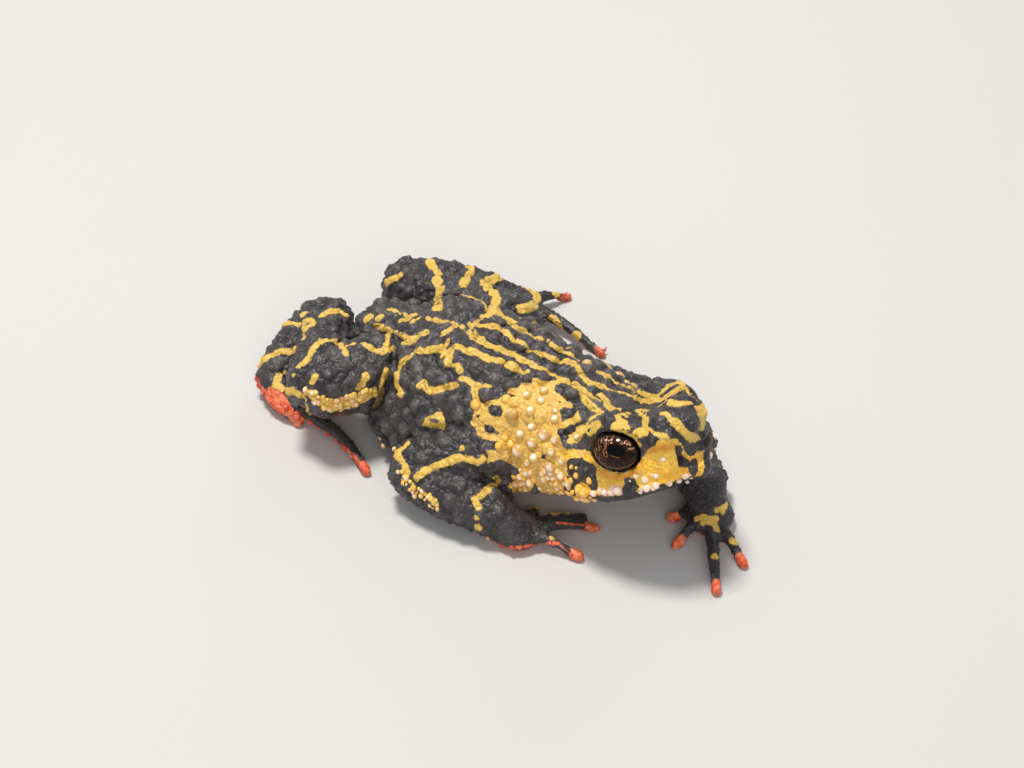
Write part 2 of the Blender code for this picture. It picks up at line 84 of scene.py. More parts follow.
# Stripes: half width in millimetres, then the places they pass in the photograph, in its pixels
BACK_STRIPES = (
    (0.22, (462, 326), (469, 332), (472, 337), (481, 342), (488, 345), (498, 348), (508, 353), (516, 355),
     (523, 360), (534, 366), (542, 369)),
    (0.18, (469, 324), (475, 333), (483, 340)),
    (0.13, (542, 369), (555, 376), (567, 380), (575, 383), (586, 392), (594, 398), (600, 401)),
    (0.26, (600, 395), (604, 399), (607, 405), (612, 409)),
    (0.21, (473, 325), (484, 326), (498, 328), (505, 332), (512, 339), (522, 343), (528, 350), (539, 353),
     (548, 357), (558, 361)),
    (0.21, (558, 361), (564, 361), (574, 364), (578, 369), (583, 376), (589, 383), (598, 385), (608, 390)),
    (0.17, (608, 390), (617, 392), (627, 394), (633, 396), (639, 399), (641, 401), (653, 401), (661, 400),
     (665, 398), (669, 395), (676, 391), (684, 387)),
    (0.22, (684, 387), (689, 386), (693, 389), (696, 389), (699, 385)),
    (0.17, (553, 383), (564, 380), (568, 382), (575, 387), (581, 392)),
    (0.24, (581, 392), (586, 400), (589, 404), (594, 408), (598, 411)),
    (0.2, (499, 314), (508, 322), (520, 329), (531, 336), (541, 339)),
    (0.17, (549, 340), (552, 345), (562, 351), (572, 356), (578, 361)),
    (0.19, (598, 372), (605, 376), (615, 382), (624, 385), (630, 388)),
    (0.15, (630, 388), (633, 390), (641, 393), (650, 396), (657, 397), (660, 394), (666, 389), (669, 386),
     (679, 382), (682, 381)),
    (0.27, (444, 356), (455, 346), (466, 350), (477, 353), (490, 360), (502, 361), (513, 367), (526, 372)),
    (0.26, (448, 342), (441, 349), (432, 350), (421, 350), (410, 356), (401, 365), (397, 376), (397, 387),
     (400, 394)),
    (0.23, (455, 346), (449, 355), (448, 364), (457, 365), (460, 371)),
    (0.25, (419, 386), (424, 382), (426, 389), (433, 391), (439, 390), (446, 387), (456, 385)),
    (0.26, (461, 379), (468, 380), (473, 385), (488, 386)),
    (0.26, (474, 387), (476, 398), (477, 405)),
    (0.26, (387, 371), (382, 385), (379, 398), (375, 407)),
    (0.22, (363, 344), (368, 347), (376, 350), (383, 352), (386, 347), (387, 338), (391, 332), (382, 327),
     (374, 325)),
    (0.2, (389, 350), (394, 348)),
    (0.22, (366, 320), (371, 316)),
    (0.2, (378, 319), (382, 315)),
    (0.2, (390, 310), (400, 313), (409, 317), (415, 315), (407, 320), (401, 321)),
    (0.2, (395, 332), (406, 337), (416, 336), (427, 332), (414, 340), (403, 343)),
    (0.2, (428, 318), (437, 321), (445, 321), (456, 325), (448, 331), (442, 335)),
    (0.17, (412, 323), (420, 318)),
    (0.14, (475, 322), (484, 318)),
)
FLANK_SPOT = ((424, 418), (441, 412), (446, 420), (444, 429), (433, 427), (423, 425))
HEAD_STRIPES = (
    (0.1, (659, 407), (667, 401), (672, 401)),
    (0.12, (637, 410), (648, 411), (645, 417), (637, 410)),
    (0.12, (620, 409), (623, 414), (627, 417), (629, 414), (626, 412)),
    (0.12, (588, 424), (592, 418), (599, 413), (603, 412)),
    (0.12, (612, 428), (619, 430), (628, 434), (633, 436), (637, 440), (640, 445)),
)
HEAD_PATCHES = (
    ((667, 404), (669, 402), (676, 401), (690, 402), (692, 404), (679, 406), (669, 407)),
    ((660, 412), (666, 411), (669, 414), (671, 418), (678, 419), (681, 423), (685, 428), (690, 432), (698, 436),
     (699, 439), (696, 441), (690, 442), (685, 439), (682, 435), (678, 431), (675, 427), (671, 425), (669, 420),
     (665, 416), (660, 415)),
    ((695, 407), (701, 405), (706, 409), (709, 414), (705, 418), (705, 425), (703, 430), (700, 430), (701, 423),
     (699, 417), (697, 411)),
    ((700, 405), (704, 402), (709, 403), (708, 406), (703, 407)),
    ((644, 418), (648, 417), (649, 421), (647, 426), (651, 427), (656, 431), (662, 432), (667, 435), (670, 440),
     (661, 440), (657, 438), (652, 434), (647, 430), (644, 425), (643, 421)),
    ((615, 416), (619, 415), (622, 419), (627, 420), (628, 425), (631, 427), (629, 430), (622, 429), (615, 430),
     (611, 427), (613, 423), (617, 422)),
    ((633, 431), (638, 429), (646, 428), (649, 431), (649, 435), (645, 437), (639, 438), (637, 435), (633, 434)),
    ((592, 422), (600, 421), (602, 426), (598, 430), (594, 434), (589, 436), (586, 432), (588, 426)),
    ((577, 427), (581, 425), (586, 426), (587, 432), (581, 435), (577, 431)),
    ((561, 424), (567, 420), (574, 418), (578, 412), (580, 418), (583, 420), (577, 422), (573, 424), (570, 425),
     (563, 428), (561, 435), (558, 433), (559, 427)),
    ((567, 440), (568, 434), (573, 433), (580, 433), (582, 437), (577, 443), (571, 444), (567, 443)),
)
ARM_STRIPES = (
    (0.2, (462, 448), (463, 448)),
    (0.25, (407, 444), (397, 454), (403, 462), (408, 474)),
    (0.28, (417, 478), (426, 470), (439, 465), (453, 460), (466, 458), (477, 463), (484, 458)),
    (0.28, (495, 477), (499, 481), (493, 486), (488, 490), (481, 495), (475, 499), (478, 508)),
    (0.2, (476, 518), (477, 518)),
    (0.24, (478, 527), (479, 527)),
    (0.24, (524, 499), (528, 505), (536, 507), (545, 508), (553, 509)),
    (0.16, (553, 509), (562, 510), (568, 511)),
    (0.2, (553, 537), (554, 537)),
)
LEG_STRIPES = (
    (0.26, (299, 366), (307, 360), (312, 350), (318, 343), (328, 340), (336, 342), (342, 347), (346, 354)),
    (0.15, (346, 346), (354, 344)),
    (0.25, (322, 316), (327, 312), (334, 312), (339, 311), (346, 315)),
    (0.24, (303, 339), (306, 330), (303, 322), (310, 320), (314, 324), (307, 330)),
    (0.26, (282, 327), (288, 324), (298, 324)),
    (0.18, (302, 315), (306, 312)),
    (0.28, (257, 367), (265, 359), (274, 354), (280, 351), (288, 352), (294, 350)),
    (0.13, (285, 372), (294, 375)),
    (0.28, (279, 376), (276, 384), (281, 388), (287, 392), (294, 391), (300, 395)),
    (0.16, (300, 395), (306, 400), (308, 410), (310, 414)),
    (0.3, (359, 387), (366, 376)),
    (0.2, (312, 382), (316, 376)),
    (0.3, (386, 283), (392, 279), (400, 275)),
    (0.42, (430, 262), (433, 268), (438, 272)),
    (0.42, (436, 279), (438, 283)),
    (0.42, (441, 290), (439, 298), (437, 308)),
    (0.4, (470, 268), (469, 276), (464, 283)),
    (0.4, (502, 275), (494, 279), (484, 283), (489, 290), (497, 297), (495, 304), (492, 312), (484, 317)),
    (0.2, (495, 306), (500, 314), (508, 320)),
    (0.42, (525, 286), (532, 291), (537, 298), (536, 304), (529, 308), (520, 309)),
    (0.35, (555, 293), (556, 293)),
    (0.34, (552, 318), (558, 325), (564, 331)),
    (0.42, (576, 336), (577, 336)),
)
FAR_HAND_SPOTS = (
    (0.2, (717, 510), (720, 509), (724, 506)),
    (0.16, (722, 512), (727, 504)),
    (0.24, (697, 519), (703, 517), (709, 521), (714, 524), (717, 530)),
    (0.2, (702, 523), (709, 519), (716, 519)),
    (0.26, (733, 541), (735, 542)),
    (0.24, (714, 556), (716, 557)),
)

# Golden gland behind the eye, golden cheek and the dark gaps in them, as outlines in the photograph's pixels
GLAND = ((471, 405), (476, 401), (484, 403), (490, 400), (497, 399), (505, 396), (509, 397), (517, 396), (511, 394),
         (506, 393), (510, 389), (518, 388), (522, 384), (532, 383), (533, 379), (537, 378), (541, 381), (553, 383),
         (555, 386), (554, 391), (563, 396), (568, 401), (573, 405), (572, 408), (563, 407), (560, 410), (561, 415),
         (561, 421), (563, 427), (561, 434), (558, 432), (560, 440), (566, 451), (578, 470), (596, 494), (580, 507),
         (562, 505), (550, 500), (540, 492), (534, 482), (530, 492), (514, 495), (509, 484), (519, 478), (518, 468),
         (507, 462), (500, 460), (487, 463), (486, 450), (498, 450), (497, 442), (484, 439), (478, 435), (475, 427),
         (471, 424), (473, 413))
CHEEK = ((560, 451), (568, 449), (577, 449), (585, 449), (591, 453), (596, 460), (603, 467), (614, 472), (624, 473),
         (634, 468), (641, 460), (645, 454), (650, 449), (656, 446), (657, 440), (662, 438), (672, 440), (677, 439),
         (681, 443), (684, 449), (687, 455), (692, 456), (698, 452), (704, 450), (707, 452), (705, 465), (702, 478),
         (700, 488), (684, 493), (670, 494), (659, 497), (640, 501), (622, 502), (606, 505), (590, 509), (575, 502),
         (568, 470))
GLAND_GAPS = (
    ((488, 407), (493, 405), (500, 406), (503, 411), (501, 416), (495, 417), (489, 413)),
    ((484, 424), (489, 425), (495, 429), (500, 432), (499, 436), (492, 434), (485, 431)),
    ((476, 416), (480, 414), (479, 418)),
    ((558, 401), (561, 401), (560, 404)),
    ((548, 405), (551, 404), (550, 407)),
    ((542, 455), (546, 454), (546, 459), (541, 458)),
)
DARK_PATCHES = (
    ((566, 462), (569, 459), (575, 458), (582, 458), (586, 461), (591, 463), (597, 467), (597, 480), (598, 490),
     (593, 492), (588, 484), (581, 482), (575, 479), (568, 475), (567, 467)),
    ((624, 479), (628, 477), (634, 478), (636, 483), (639, 487), (636, 491), (635, 496), (628, 496), (622, 495),
     (621, 490), (624, 486)),
    ((641, 438), (650, 436), (655, 438), (655, 444), (649, 447), (643, 446)),
    ((675, 445), (681, 445), (683, 450), (681, 454), (684, 456), (687, 459), (690, 461), (695, 457), (698, 461),
     (698, 470), (696, 475), (693, 477), (690, 473), (688, 468), (684, 467), (680, 467), (678, 464), (677, 459),
     (675, 453)),
    ((658, 486), (662, 483), (667, 485), (667, 490), (662, 492), (658, 490)),
    ((671, 486), (675, 484), (679, 486), (680, 490), (675, 491), (671, 490)),
    ((703, 452), (707, 450), (709, 460), (705, 466), (703, 460)),
)
# The dark middle of the flank's spot
FLANK_CENTRE = ((0.16, (431, 420), (437, 421)),)
# Pale parts of the upper lip
LIP_OUTLINES = (
    ((598, 488), (605, 490), (609, 490), (612, 486), (618, 485), (622, 490), (622, 495), (614, 496), (606, 496),
     (598, 495)),
    ((636, 494), (640, 490), (643, 486), (647, 484), (652, 487), (655, 483), (659, 484), (660, 489), (656, 492),
     (646, 494)),
    ((667, 484), (671, 481), (674, 484), (677, 481), (682, 480), (685, 474), (689, 474), (693, 477), (692, 482),
     (684, 486), (676, 488), (668, 489)),
)
# The shut mouth's crease and the nostril's pit, both painted dark as shade
MOUTH_LINE = (
    (0.05, (590, 496), (598, 496), (606, 497), (614, 498), (624, 497), (635, 495), (646, 494), (658, 493),
     (668, 492), (680, 489), (690, 485)),
    (0.17, (681, 459), (682, 460)),
)
# Painted shade: deeper orange under the brow ridge and under the eye, fading out over its half width
ORANGE_SHADE_STROKES = (
    (0.5, (646, 450), (654, 449), (662, 448), (672, 447)),
    (0.45, (600, 470), (608, 475), (618, 477), (628, 475), (636, 470), (641, 463)),
    (0.35, (683, 466), (688, 474)),
)
# Red along the edges of palms, digits and soles
RED_EDGES = (
    (0.16, (492, 545), (501, 548), (512, 548), (524, 547), (536, 545), (550, 543), (558, 543)),
    (0.06, (558, 544), (569, 553)),
    (0.08, (557, 523), (571, 524), (585, 525)),
    (0.36, (256, 380), (260, 387), (266, 395), (272, 403), (279, 410), (287, 413)),
    (0.34, (270, 391), (276, 397), (283, 404), (290, 411)),
    (0.26, (277, 392), (283, 398), (287, 404)),
    (0.3, (301, 419), (309, 426), (316, 431), (327, 438), (335, 443), (344, 449), (352, 456), (358, 463)),
)

# Pearls and granules: place in the photograph's pixels and radius in millimetres
GLAND_PEARLS = (
    (527, 395, 0.42), (544, 391, 0.4), (541, 401, 0.42), (531, 411, 0.48),
    (555, 411, 0.3), (555, 419, 0.42), (532, 427, 0.42), (520, 434, 0.42), (544, 435, 0.54),
    (555, 440, 0.42), (532, 443, 0.48), (518, 451, 0.6), (551, 452, 0.42), (534, 458, 0.45),
    (562, 461, 0.38), (550, 467, 0.5), (527, 463, 0.32), (526, 473, 0.38), (561, 476, 0.42),
    (530, 484, 0.36), (522, 483, 0.28), (544, 479, 0.36), (550, 474, 0.26), (568, 484, 0.38),
    (577, 437, 0.3), (556, 484, 0.26), (540, 488, 0.24), (549, 489, 0.26), (561, 491, 0.24),
)
# The longest pearl, from end to end in pixels, and its radius
LONG_PEARL = ((506, 411), (515, 416), 0.5)
GOLD_GRANULES = (
    (579, 490, 0.5), (583, 493, 0.44), (576, 476, 0.26), (589, 481, 0.3), (571, 467, 0.2),
    (576, 468, 0.16), (476, 405, 0.46), (506, 399, 0.42), (511, 444, 0.42), (505, 438, 0.34),
    (498, 446, 0.36), (573, 497, 0.26), (566, 497, 0.26), (586, 499, 0.26), (514, 477, 0.3),
)
LIP_GRANULES = (
    (645, 480, 0.33), (646, 489, 0.3), (656, 486, 0.3), (653, 489, 0.22), (640, 492, 0.2), (670, 484, 0.24),
    (679, 481, 0.24), (685, 477, 0.33), (691, 478, 0.17), (636, 476, 0.22), (656, 476, 0.22), (652, 475, 0.12),
    (617, 490, 0.38), (604, 492, 0.3), (593, 494, 0.28), (610, 493, 0.24), (630, 481, 0.11), (674, 486, 0.18),
    (663, 459, 0.24), (600, 490, 0.2), (687, 482, 0.2),
)
PALE_GRANULES = (
    (398, 472, 0.22), (406, 479, 0.26), (428, 497, 0.24), (437, 509, 0.22),
    (306, 393, 0.26), (312, 393, 0.24), (318, 402, 0.24), (329, 409, 0.3), (338, 400, 0.22),
    (340, 407, 0.22), (486, 540, 0.24), (380, 438, 0.2), (383, 446, 0.24), (394, 449, 0.22),
)
DARK_GRANULES = (
    (570, 414, 0.46), (566, 416, 0.34), (494, 410, 0.42), (490, 429, 0.3), (571, 430, 0.42), (565, 437, 0.3),
    (586, 470, 0.34), (592, 476, 0.3), (577, 463, 0.28), (561, 432, 0.3), (629, 486, 0.26), (633, 491, 0.22),
    (652, 441, 0.34), (590, 430, 0.22), (570, 469, 0.24), (581, 476, 0.26), (594, 486, 0.24),
    (662, 487, 0.3), (675, 488, 0.3),
)
RED_BEADS = (
    (297, 416, 0.44), (257, 386, 0.34), (255, 379, 0.27), (286, 407, 0.3), (308, 425, 0.3), (316, 431, 0.25),
    (326, 438, 0.36), (335, 443, 0.28), (344, 449, 0.36), (352, 456, 0.25), (263, 393, 0.24), (270, 402, 0.26),
    (501, 547, 0.3), (550, 543, 0.2), (536, 545, 0.22), (512, 548, 0.22),
)

# Where small granules are strewn: outlines in pixels
JAW_CORNERS = (
    ((520, 468), (529, 469), (535, 477), (535, 486), (528, 489), (520, 492), (515, 494), (509, 485), (517, 482)),
    ((537, 473), (545, 471), (555, 471), (563, 473), (572, 481), (571, 490), (581, 495), (594, 498), (598, 503),
     (581, 508), (568, 506), (558, 502), (549, 496), (550, 486), (543, 481)),
)
THIGH_BAND = (((304, 389), (312, 390), (322, 397), (332, 399), (345, 397), (356, 395), (364, 390), (376, 387),
               (378, 394), (368, 400), (354, 407), (345, 409), (331, 412), (321, 407), (309, 398)),)
ELBOW_BAND = (((397, 470), (402, 470), (411, 481), (420, 489), (431, 494), (440, 507), (437, 513), (425, 501),
               (412, 495), (402, 483)),)

# Soft lumps of the frontal swelling and brows: place in pixels, radius and height in millimetres
HEAD_LUMPS = (
    (659, 419, 1.5, 0.34), (690, 424, 1.5, 0.3), (702, 404, 1.1, 0.22), (706, 421, 1.0, 0.15),
    (610, 400, 1.0, 0.2), (634, 424, 0.9, 0.18), (608, 418, 0.8, 0.22),
    (569, 392, 1.0, 0.22), (541, 420, 3.4, 0.35), (670, 468, 1.6, 0.15), (640, 388, 1.2, 0.25),
    (662, 486, 1.8, 0.2), (678, 480, 1.9, 0.3), (692, 472, 1.9, 0.35), (700, 462, 1.6, 0.35),
    (687, 475, 1.5, 0.5), (694, 468, 1.5, 0.35),
    (654, 441, 0.9, 0.2), (664, 440, 0.9, 0.18), (672, 439, 0.9, 0.12),
    (652, 454, 1.5, -0.3), (664, 455, 1.5, -0.3), (642, 463, 1.2, -0.12),
)


class ToadSizes(PropertyGroup):
    """Sizes that a user would change. Lengths are in metres."""

    voxel: FloatProperty(
        name="Skin detail", description="Edge of the skin's faces",
        default=0.0001, min=0.00006, max=0.0005, unit="LENGTH")
    quick_voxel: FloatProperty(
        name="Draft detail", description="Edge of the skin's faces in a quick try",
        default=0.0002, min=0.0001, max=0.0006, unit="LENGTH")
    wart_height: FloatProperty(
        name="Wart height", description="Height of the back's large warts",
        default=0.00032, min=0.0, max=0.001, unit="LENGTH")
    seed: IntProperty(name="Seed", description="Seed of every random draw", default=7, min=0)
    floor_size: FloatProperty(
        name="Floor", description="Width of the studio floor", default=1.6, min=0.2, unit="LENGTH")


def colour(name, text, default):
    """A colour setting."""
    return FloatVectorProperty(
        name=name, description=text, subtype="COLOR", size=3, min=0, max=1, default=default)


class ToadColours(PropertyGroup):
    """Colours of the toad and its stage."""

    black: colour("Black", "Ground colour of the skin", (0.018, 0.015, 0.017))
    # Dusty black is also painted sheen: the skin paints it on the tops of the warts, more the higher they rise
    dusty_and_sheen: colour("Dusty black", "Tops of the warts", (0.086, 0.074, 0.072))
    yellow: colour("Yellow", "Stripes", (0.68, 0.445, 0.085))
    ochre: colour("Ochre", "Thin line inside the stripes", (0.26, 0.16, 0.045))
    gold: colour("Gold", "Gland behind the eye", (0.64, 0.39, 0.10))
    cheek: colour("Cheek", "Cheek under the eye", (0.90, 0.53, 0.050))
    pale: colour("Pale", "Upper lip", (0.90, 0.70, 0.60))
    # The pearls' pale tops are a painted highlight
    pearl: colour("Pearl", "Tops of the gland's pearls", (0.88, 0.74, 0.58))
    red: colour("Red", "Palms, soles and finger tips", (0.66, 0.075, 0.022))
    eye: colour("Eye", "Ground colour of the iris", (0.010, 0.004, 0.003))
    copper: colour("Copper", "Flecks in the iris", (0.80, 0.43, 0.28))
    floor: colour("Floor", "Studio floor", (0.54, 0.53, 0.515))


def sizes():
    return bpy.context.scene.toad_sizes


def colours():
    return bpy.context.scene.toad_colours


# The photograph's camera

def view_axes():
    """Right, up and back of the photograph's camera."""
    a, e = math.radians(VIEW_AZIMUTH), math.radians(VIEW_ELEVATION)
    back = Vector((math.sin(a) * math.cos(e), -math.cos(a) * math.cos(e), math.sin(e)))
    right = Vector((math.cos(a), math.sin(a), 0))
    return right, back.cross(right), back


def view_place():
    """Where the photograph's camera stands, so that the anchor shows at its pixel."""
    right, up, back = view_axes()
    across = (ANCHOR_PIXEL[0] - IMAGE_WIDTH / 2) / FOCAL_PIXELS * VIEW_DISTANCE
    rise = (IMAGE_HEIGHT / 2 - ANCHOR_PIXEL[1]) / FOCAL_PIXELS * VIEW_DISTANCE
    return ANCHOR + back * VIEW_DISTANCE - right * across - up * rise


def pixel_way(x, y):
    """Direction from the camera through a pixel of the photograph."""
    right, up, back = view_axes()
    way = right * (x - IMAGE_WIDTH / 2) + up * (IMAGE_HEIGHT / 2 - y) - back * FOCAL_PIXELS
    return way.normalized()


def to_pixels(points):
    """Pixels of the photograph where points in millimetres show."""
    right, up, back = (np.array(axis) for axis in view_axes())
    away = points * MM - np.array(view_place())
    depth = -(away @ back)
    x = IMAGE_WIDTH / 2 + FOCAL_PIXELS * (away @ right) / depth
    y = IMAGE_HEIGHT / 2 - FOCAL_PIXELS * (away @ up) / depth
    return np.stack([x, y], 1)


# Mesh helpers

def link(item):
    bpy.context.scene.collection.objects.link(item)
    return item


def apply_modifiers(item):
    """Replace an object's mesh by its evaluated one."""
    bpy.context.view_layer.update()
    evaluated = item.evaluated_get(bpy.context.evaluated_depsgraph_get())
    mesh = bpy.data.meshes.new_from_object(evaluated)
    item.modifiers.clear()
    item.data = mesh
    return item


def points_of(mesh):
    """Vertex places in millimetres."""
    places = np.empty(len(mesh.vertices) * 3, np.float32)
    mesh.vertices.foreach_get("co", places)
    return places.reshape(-1, 3).astype(float) / MM


def normals_of(mesh):
    found = np.empty(len(mesh.vertices) * 3, np.float32)
    mesh.vertex_normals.foreach_get("vector", found)
    return found.reshape(-1, 3).astype(float)


def put_points(mesh, places):
    mesh.vertices.foreach_set("co", (places * MM).astype(np.float32).ravel())
    mesh.update()


def put_values(mesh, name, values):
    """A number for each vertex, read by the materials."""
    layer = mesh.attributes.get(name) or mesh.attributes.new(name, "FLOAT", "POINT")
    layer.data.foreach_set("value", values.astype(np.float32))


def tree_of(mesh):
    """A search tree of a mesh's faces, in millimetres."""
    places = [v.co / MM for v in mesh.vertices]
    return BVHTree.FromPolygons(places, [tuple(p.vertices) for p in mesh.polygons])


def edge_ends(mesh):
    """Numbers of the vertices at both ends of every edge."""
    edges = np.empty(len(mesh.edges) * 2, np.int32)
    mesh.edges.foreach_get("vertices", edges)
    return edges.reshape(-1, 2).T


def object_from(bm, name):
    """A new object in the scene with the mesh that a bmesh holds, which is let go."""
    mesh = bpy.data.meshes.new(name)
    bm.to_mesh(mesh)
    bm.free()
    return link(bpy.data.objects.new(name, mesh))


def relax(mesh, places, rounds, weight):
    """Smooth the places of a mesh's vertices by their neighbours' mean, by a weight for each."""
    a, b = edge_ends(mesh)
    total = len(places)
    count = np.bincount(a, minlength=total) + np.bincount(b, minlength=total)
    for _ in range(rounds):
        mean = np.empty_like(places)
        for axis in range(3):
            column = places[:, axis]
            mean[:, axis] = (np.bincount(a, column[b], total) + np.bincount(b, column[a], total)) / count
        places = places + (mean - places) * weight
    return places


# Joints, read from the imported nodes

def joint_between(upper, lower, reach=0.55):
    """Middle of the place where two nodes face each other, in millimetres."""
    tree = tree_of(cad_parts[upper].data)
    places = points_of(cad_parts[lower].data)
    near = [p for p in places if tree.find_nearest(Vector(p), reach)[0] is not None]
    return Vector(np.mean(near, 0))


def find_bones():
    """Start and end of each limb's segments."""
    bones = {}
    for side in SIDES:
        for parts in (ARM_NODES, LEG_NODES):
            start = joint_between("torso", f"{parts[0]}_{side}")
            for part, after in zip(parts, parts[1:]):
                end = joint_between(f"{part}_{side}", f"{after}_{side}")
                bones[f"{part}_{side}"] = (start, end)
                start = end
            low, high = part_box(f"{parts[-1]}_{side}")
            bones[f"{parts[-1]}_{side}"] = (start, (low + high) / 2 / MM)
    return bones


# Tips of the digits on the floor, along and across the toad in millimetres
DIGIT_TIPS = {
    "hand_R": ((9.6, -4.4), (13.0, -2.2), (14.4, -2.6), (15.5, -5.9)),
    "hand_L": ((18.2, 2.4), (20.4, 0.3), (25.9, -1.6), (25.7, 2.1)),
    "foot_R": ((-14.1, -6.0), (-12.6, -5.2), (-10.3, -5.0), (-3.8, -10.0), (-12.3, -9.5)),
    "foot_L": ((-6.0, 12.4), (-4.4, 11.9), (-2.9, 11.9), (1.2, 14.1), (-6.1, 18.1)),
}
DARK_TIPS = ((9.6, -4.4), (13.0, -2.2))
# How much thinner the digits get towards their tips
TIP_SLIMMING = {"hand_R": 0.02, "hand_L": 0.06, "foot_R": 0.08, "foot_L": 0.2}
TIP_LENGTH = 1.6
RED_TIP_RADIUS = 0.6

# The skin's form, in millimetres
JOINT_BALLS = {"upper_arm": 2.0, "forearm": 1.75, "thigh": 2.35, "shank": 2.0, "tarsus": 1.5}
SWELL = 0.17
SHRINK = 0.12
KNOB_RADIUS = 0.52
# Folds: two parts that meet, and the depth, which the skin also paints dark as shade
FOLDS = (("thigh", "torso", 0.5), ("thigh", "shank", 0.3), ("upper_arm", "torso", 0.3),
         ("shank", "tarsus", 0.15))
FOLD_WIDTH = 0.42
EYE_TILT = math.radians(22)
EYE_SHIFT = (-0.35, 0.25, -0.2)
EYE_GROW = (1.04, 1.03, 1.04)
EYE_GAZE = (0.46, 0.70, 0.54)
PUPIL_GAZE = (0.54, 0.58, 0.61)
LID_TURN = math.radians(8)
LID_OPENING = (1.92, 1.42)
LID_FOLDS = (1.08, 1.25, 1.42)
LID_RING = 0.2
DIGIT_SHRINK = 0.08
LIP_LINE = ((13.6, 5.5), (15.5, 6.65), (17.6, 7.85), (19.9, 8.9), (21.6, 9.75), (22.4, 10.1))
NOSTRIL_PIXEL = (682, 459)
NOSTRIL_RADIUS = 0.36
NOSTRIL_DEPTH = 0.55
NOSTRIL_RIM = 0.15
LEAST_VERTICES = 10000


def add_ball(bm, centre, radii, turn=None, rings=20):
    """A ball in millimetres, added to a mesh in metres."""
    place = Matrix.Translation(centre)
    if turn is not None:
        place = place @ turn.to_4x4()
    place = Matrix.Scale(MM, 4) @ place @ Matrix.Diagonal((*radii, 1))
    bmesh.ops.create_uvsphere(bm, u_segments=rings, v_segments=rings // 2, radius=1, matrix=place)


def add_tube(bm, path, radius, closed=False, sides=10):
    """A closed tube of round section along a path in millimetres."""
    path = [Vector(p) for p in path]
    count = len(path)
    rows = []
    for i, place in enumerate(path):
        before = path[i - 1] if i or closed else path[0]
        after = path[(i + 1) % count] if i < count - 1 or closed else path[-1]
        along = (after - before).normalized()
        across = (last - along * last.dot(along) if rows else along.orthogonal()).normalized()
        last = across
        other = along.cross(across)
        size = radius[i] if isinstance(radius, (list, tuple)) else radius
        ring = []
        for k in range(sides):
            turn = 2 * math.pi * k / sides
            outward = across * math.cos(turn) + other * math.sin(turn)
            ring.append(bm.verts.new((place + outward * size) * MM))
        rows.append(ring)
    pairs = list(zip(rows, rows[1:])) + ([(rows[-1], rows[0])] if closed else [])
    for near, far in pairs:
        for k in range(sides):
            bm.faces.new((near[k], near[(k + 1) % sides], far[(k + 1) % sides], far[k]))
    if not closed:
        bm.faces.new(rows[0][::-1])
        bm.faces.new(rows[-1])


def eye_shape(node):
    """Centre, axes and radii of an eye, whose wet ball is a little larger than the solid one.

    The axes run along it, out of the head and up."""
    low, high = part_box(node)
    centre = (low + high) / 2 / MM
    side = math.copysign(1, centre.y)
    level, steep = math.cos(EYE_TILT), math.sin(EYE_TILT)
    axes = np.array(((level, 0, steep), (0, side, 0), (-steep, 0, level)))
    reach = np.abs((points_of(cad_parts[node].data) - np.array(centre)) @ axes.T).max(0)
    shift = np.array(EYE_SHIFT) * (1, side, 1)
    return np.array(centre) + shift, axes, reach * EYE_GROW


def eye_view(node, way):
    """Directions out of an eye, forward across it and up, for a way of looking."""
    side = math.copysign(1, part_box(node)[0].y)
    gaze = Vector((way[0], way[1] * side, way[2])).normalized()
    across = Vector((math.cos(EYE_TILT), 0, math.sin(EYE_TILT)))
    across = (across - gaze * across.dot(gaze)).normalized()
    rise = gaze.cross(across) * -side
    turned = across * math.cos(LID_TURN) - rise * math.sin(LID_TURN)
    rise = rise * math.cos(LID_TURN) + across * math.sin(LID_TURN)
    return np.array(gaze), np.array(turned), np.array(rise)


def depth_on_ball(node, places, gaze, limit):
    """How far each place moves along the gaze to reach the front of the ball, times a limit.

    Where the ball is missed, it is the way to the nearest approach, and the second result is false."""
    centre, axes, radii = eye_shape(node)
    scale = axes / radii[:, None]
    local = (places - centre) @ scale.T
    step = scale @ gaze
    a, b, c = step @ step, local @ step, (local ** 2).sum(1) - limit ** 2
    hit = b * b > a * c
    return (np.sqrt(np.maximum(b * b - a * c, 0)) - b) / a, hit, c > 0


def lid_path(node, grow, steps=56):
    """The closed line of the lids on the ball, or a fold outside it, grown by a factor."""
    centre, axes, radii = eye_shape(node)
    gaze, across, rise = eye_view(node, EYE_GAZE)
    turn = np.arange(steps)[:, None] * 2 * math.pi / steps
    oval = across * np.cos(turn) * LID_OPENING[0] + rise * np.sin(turn) * LID_OPENING[1]
    flat = centre + oval * grow
    depth = depth_on_ball(node, flat, gaze, 1.0)[0]
    spots = flat + gaze * depth[:, None]
    reach = np.linalg.norm((spots - centre) @ (axes / radii[:, None]).T, axis=1)
    return [Vector(spot) for spot in centre + (spots - centre) / reach[:, None] * 1.03]


def digit_ends(name, bones):
    """Tip of each digit and the level direction back to the palm or sole."""
    ends = []
    for x, y in DIGIT_TIPS[name]:
        tip = Vector((x, y, KNOB_RADIUS))
        inward = bones[name][1] - tip
        inward.z = 0
        ends.append((tip, inward.normalized()))
    return ends


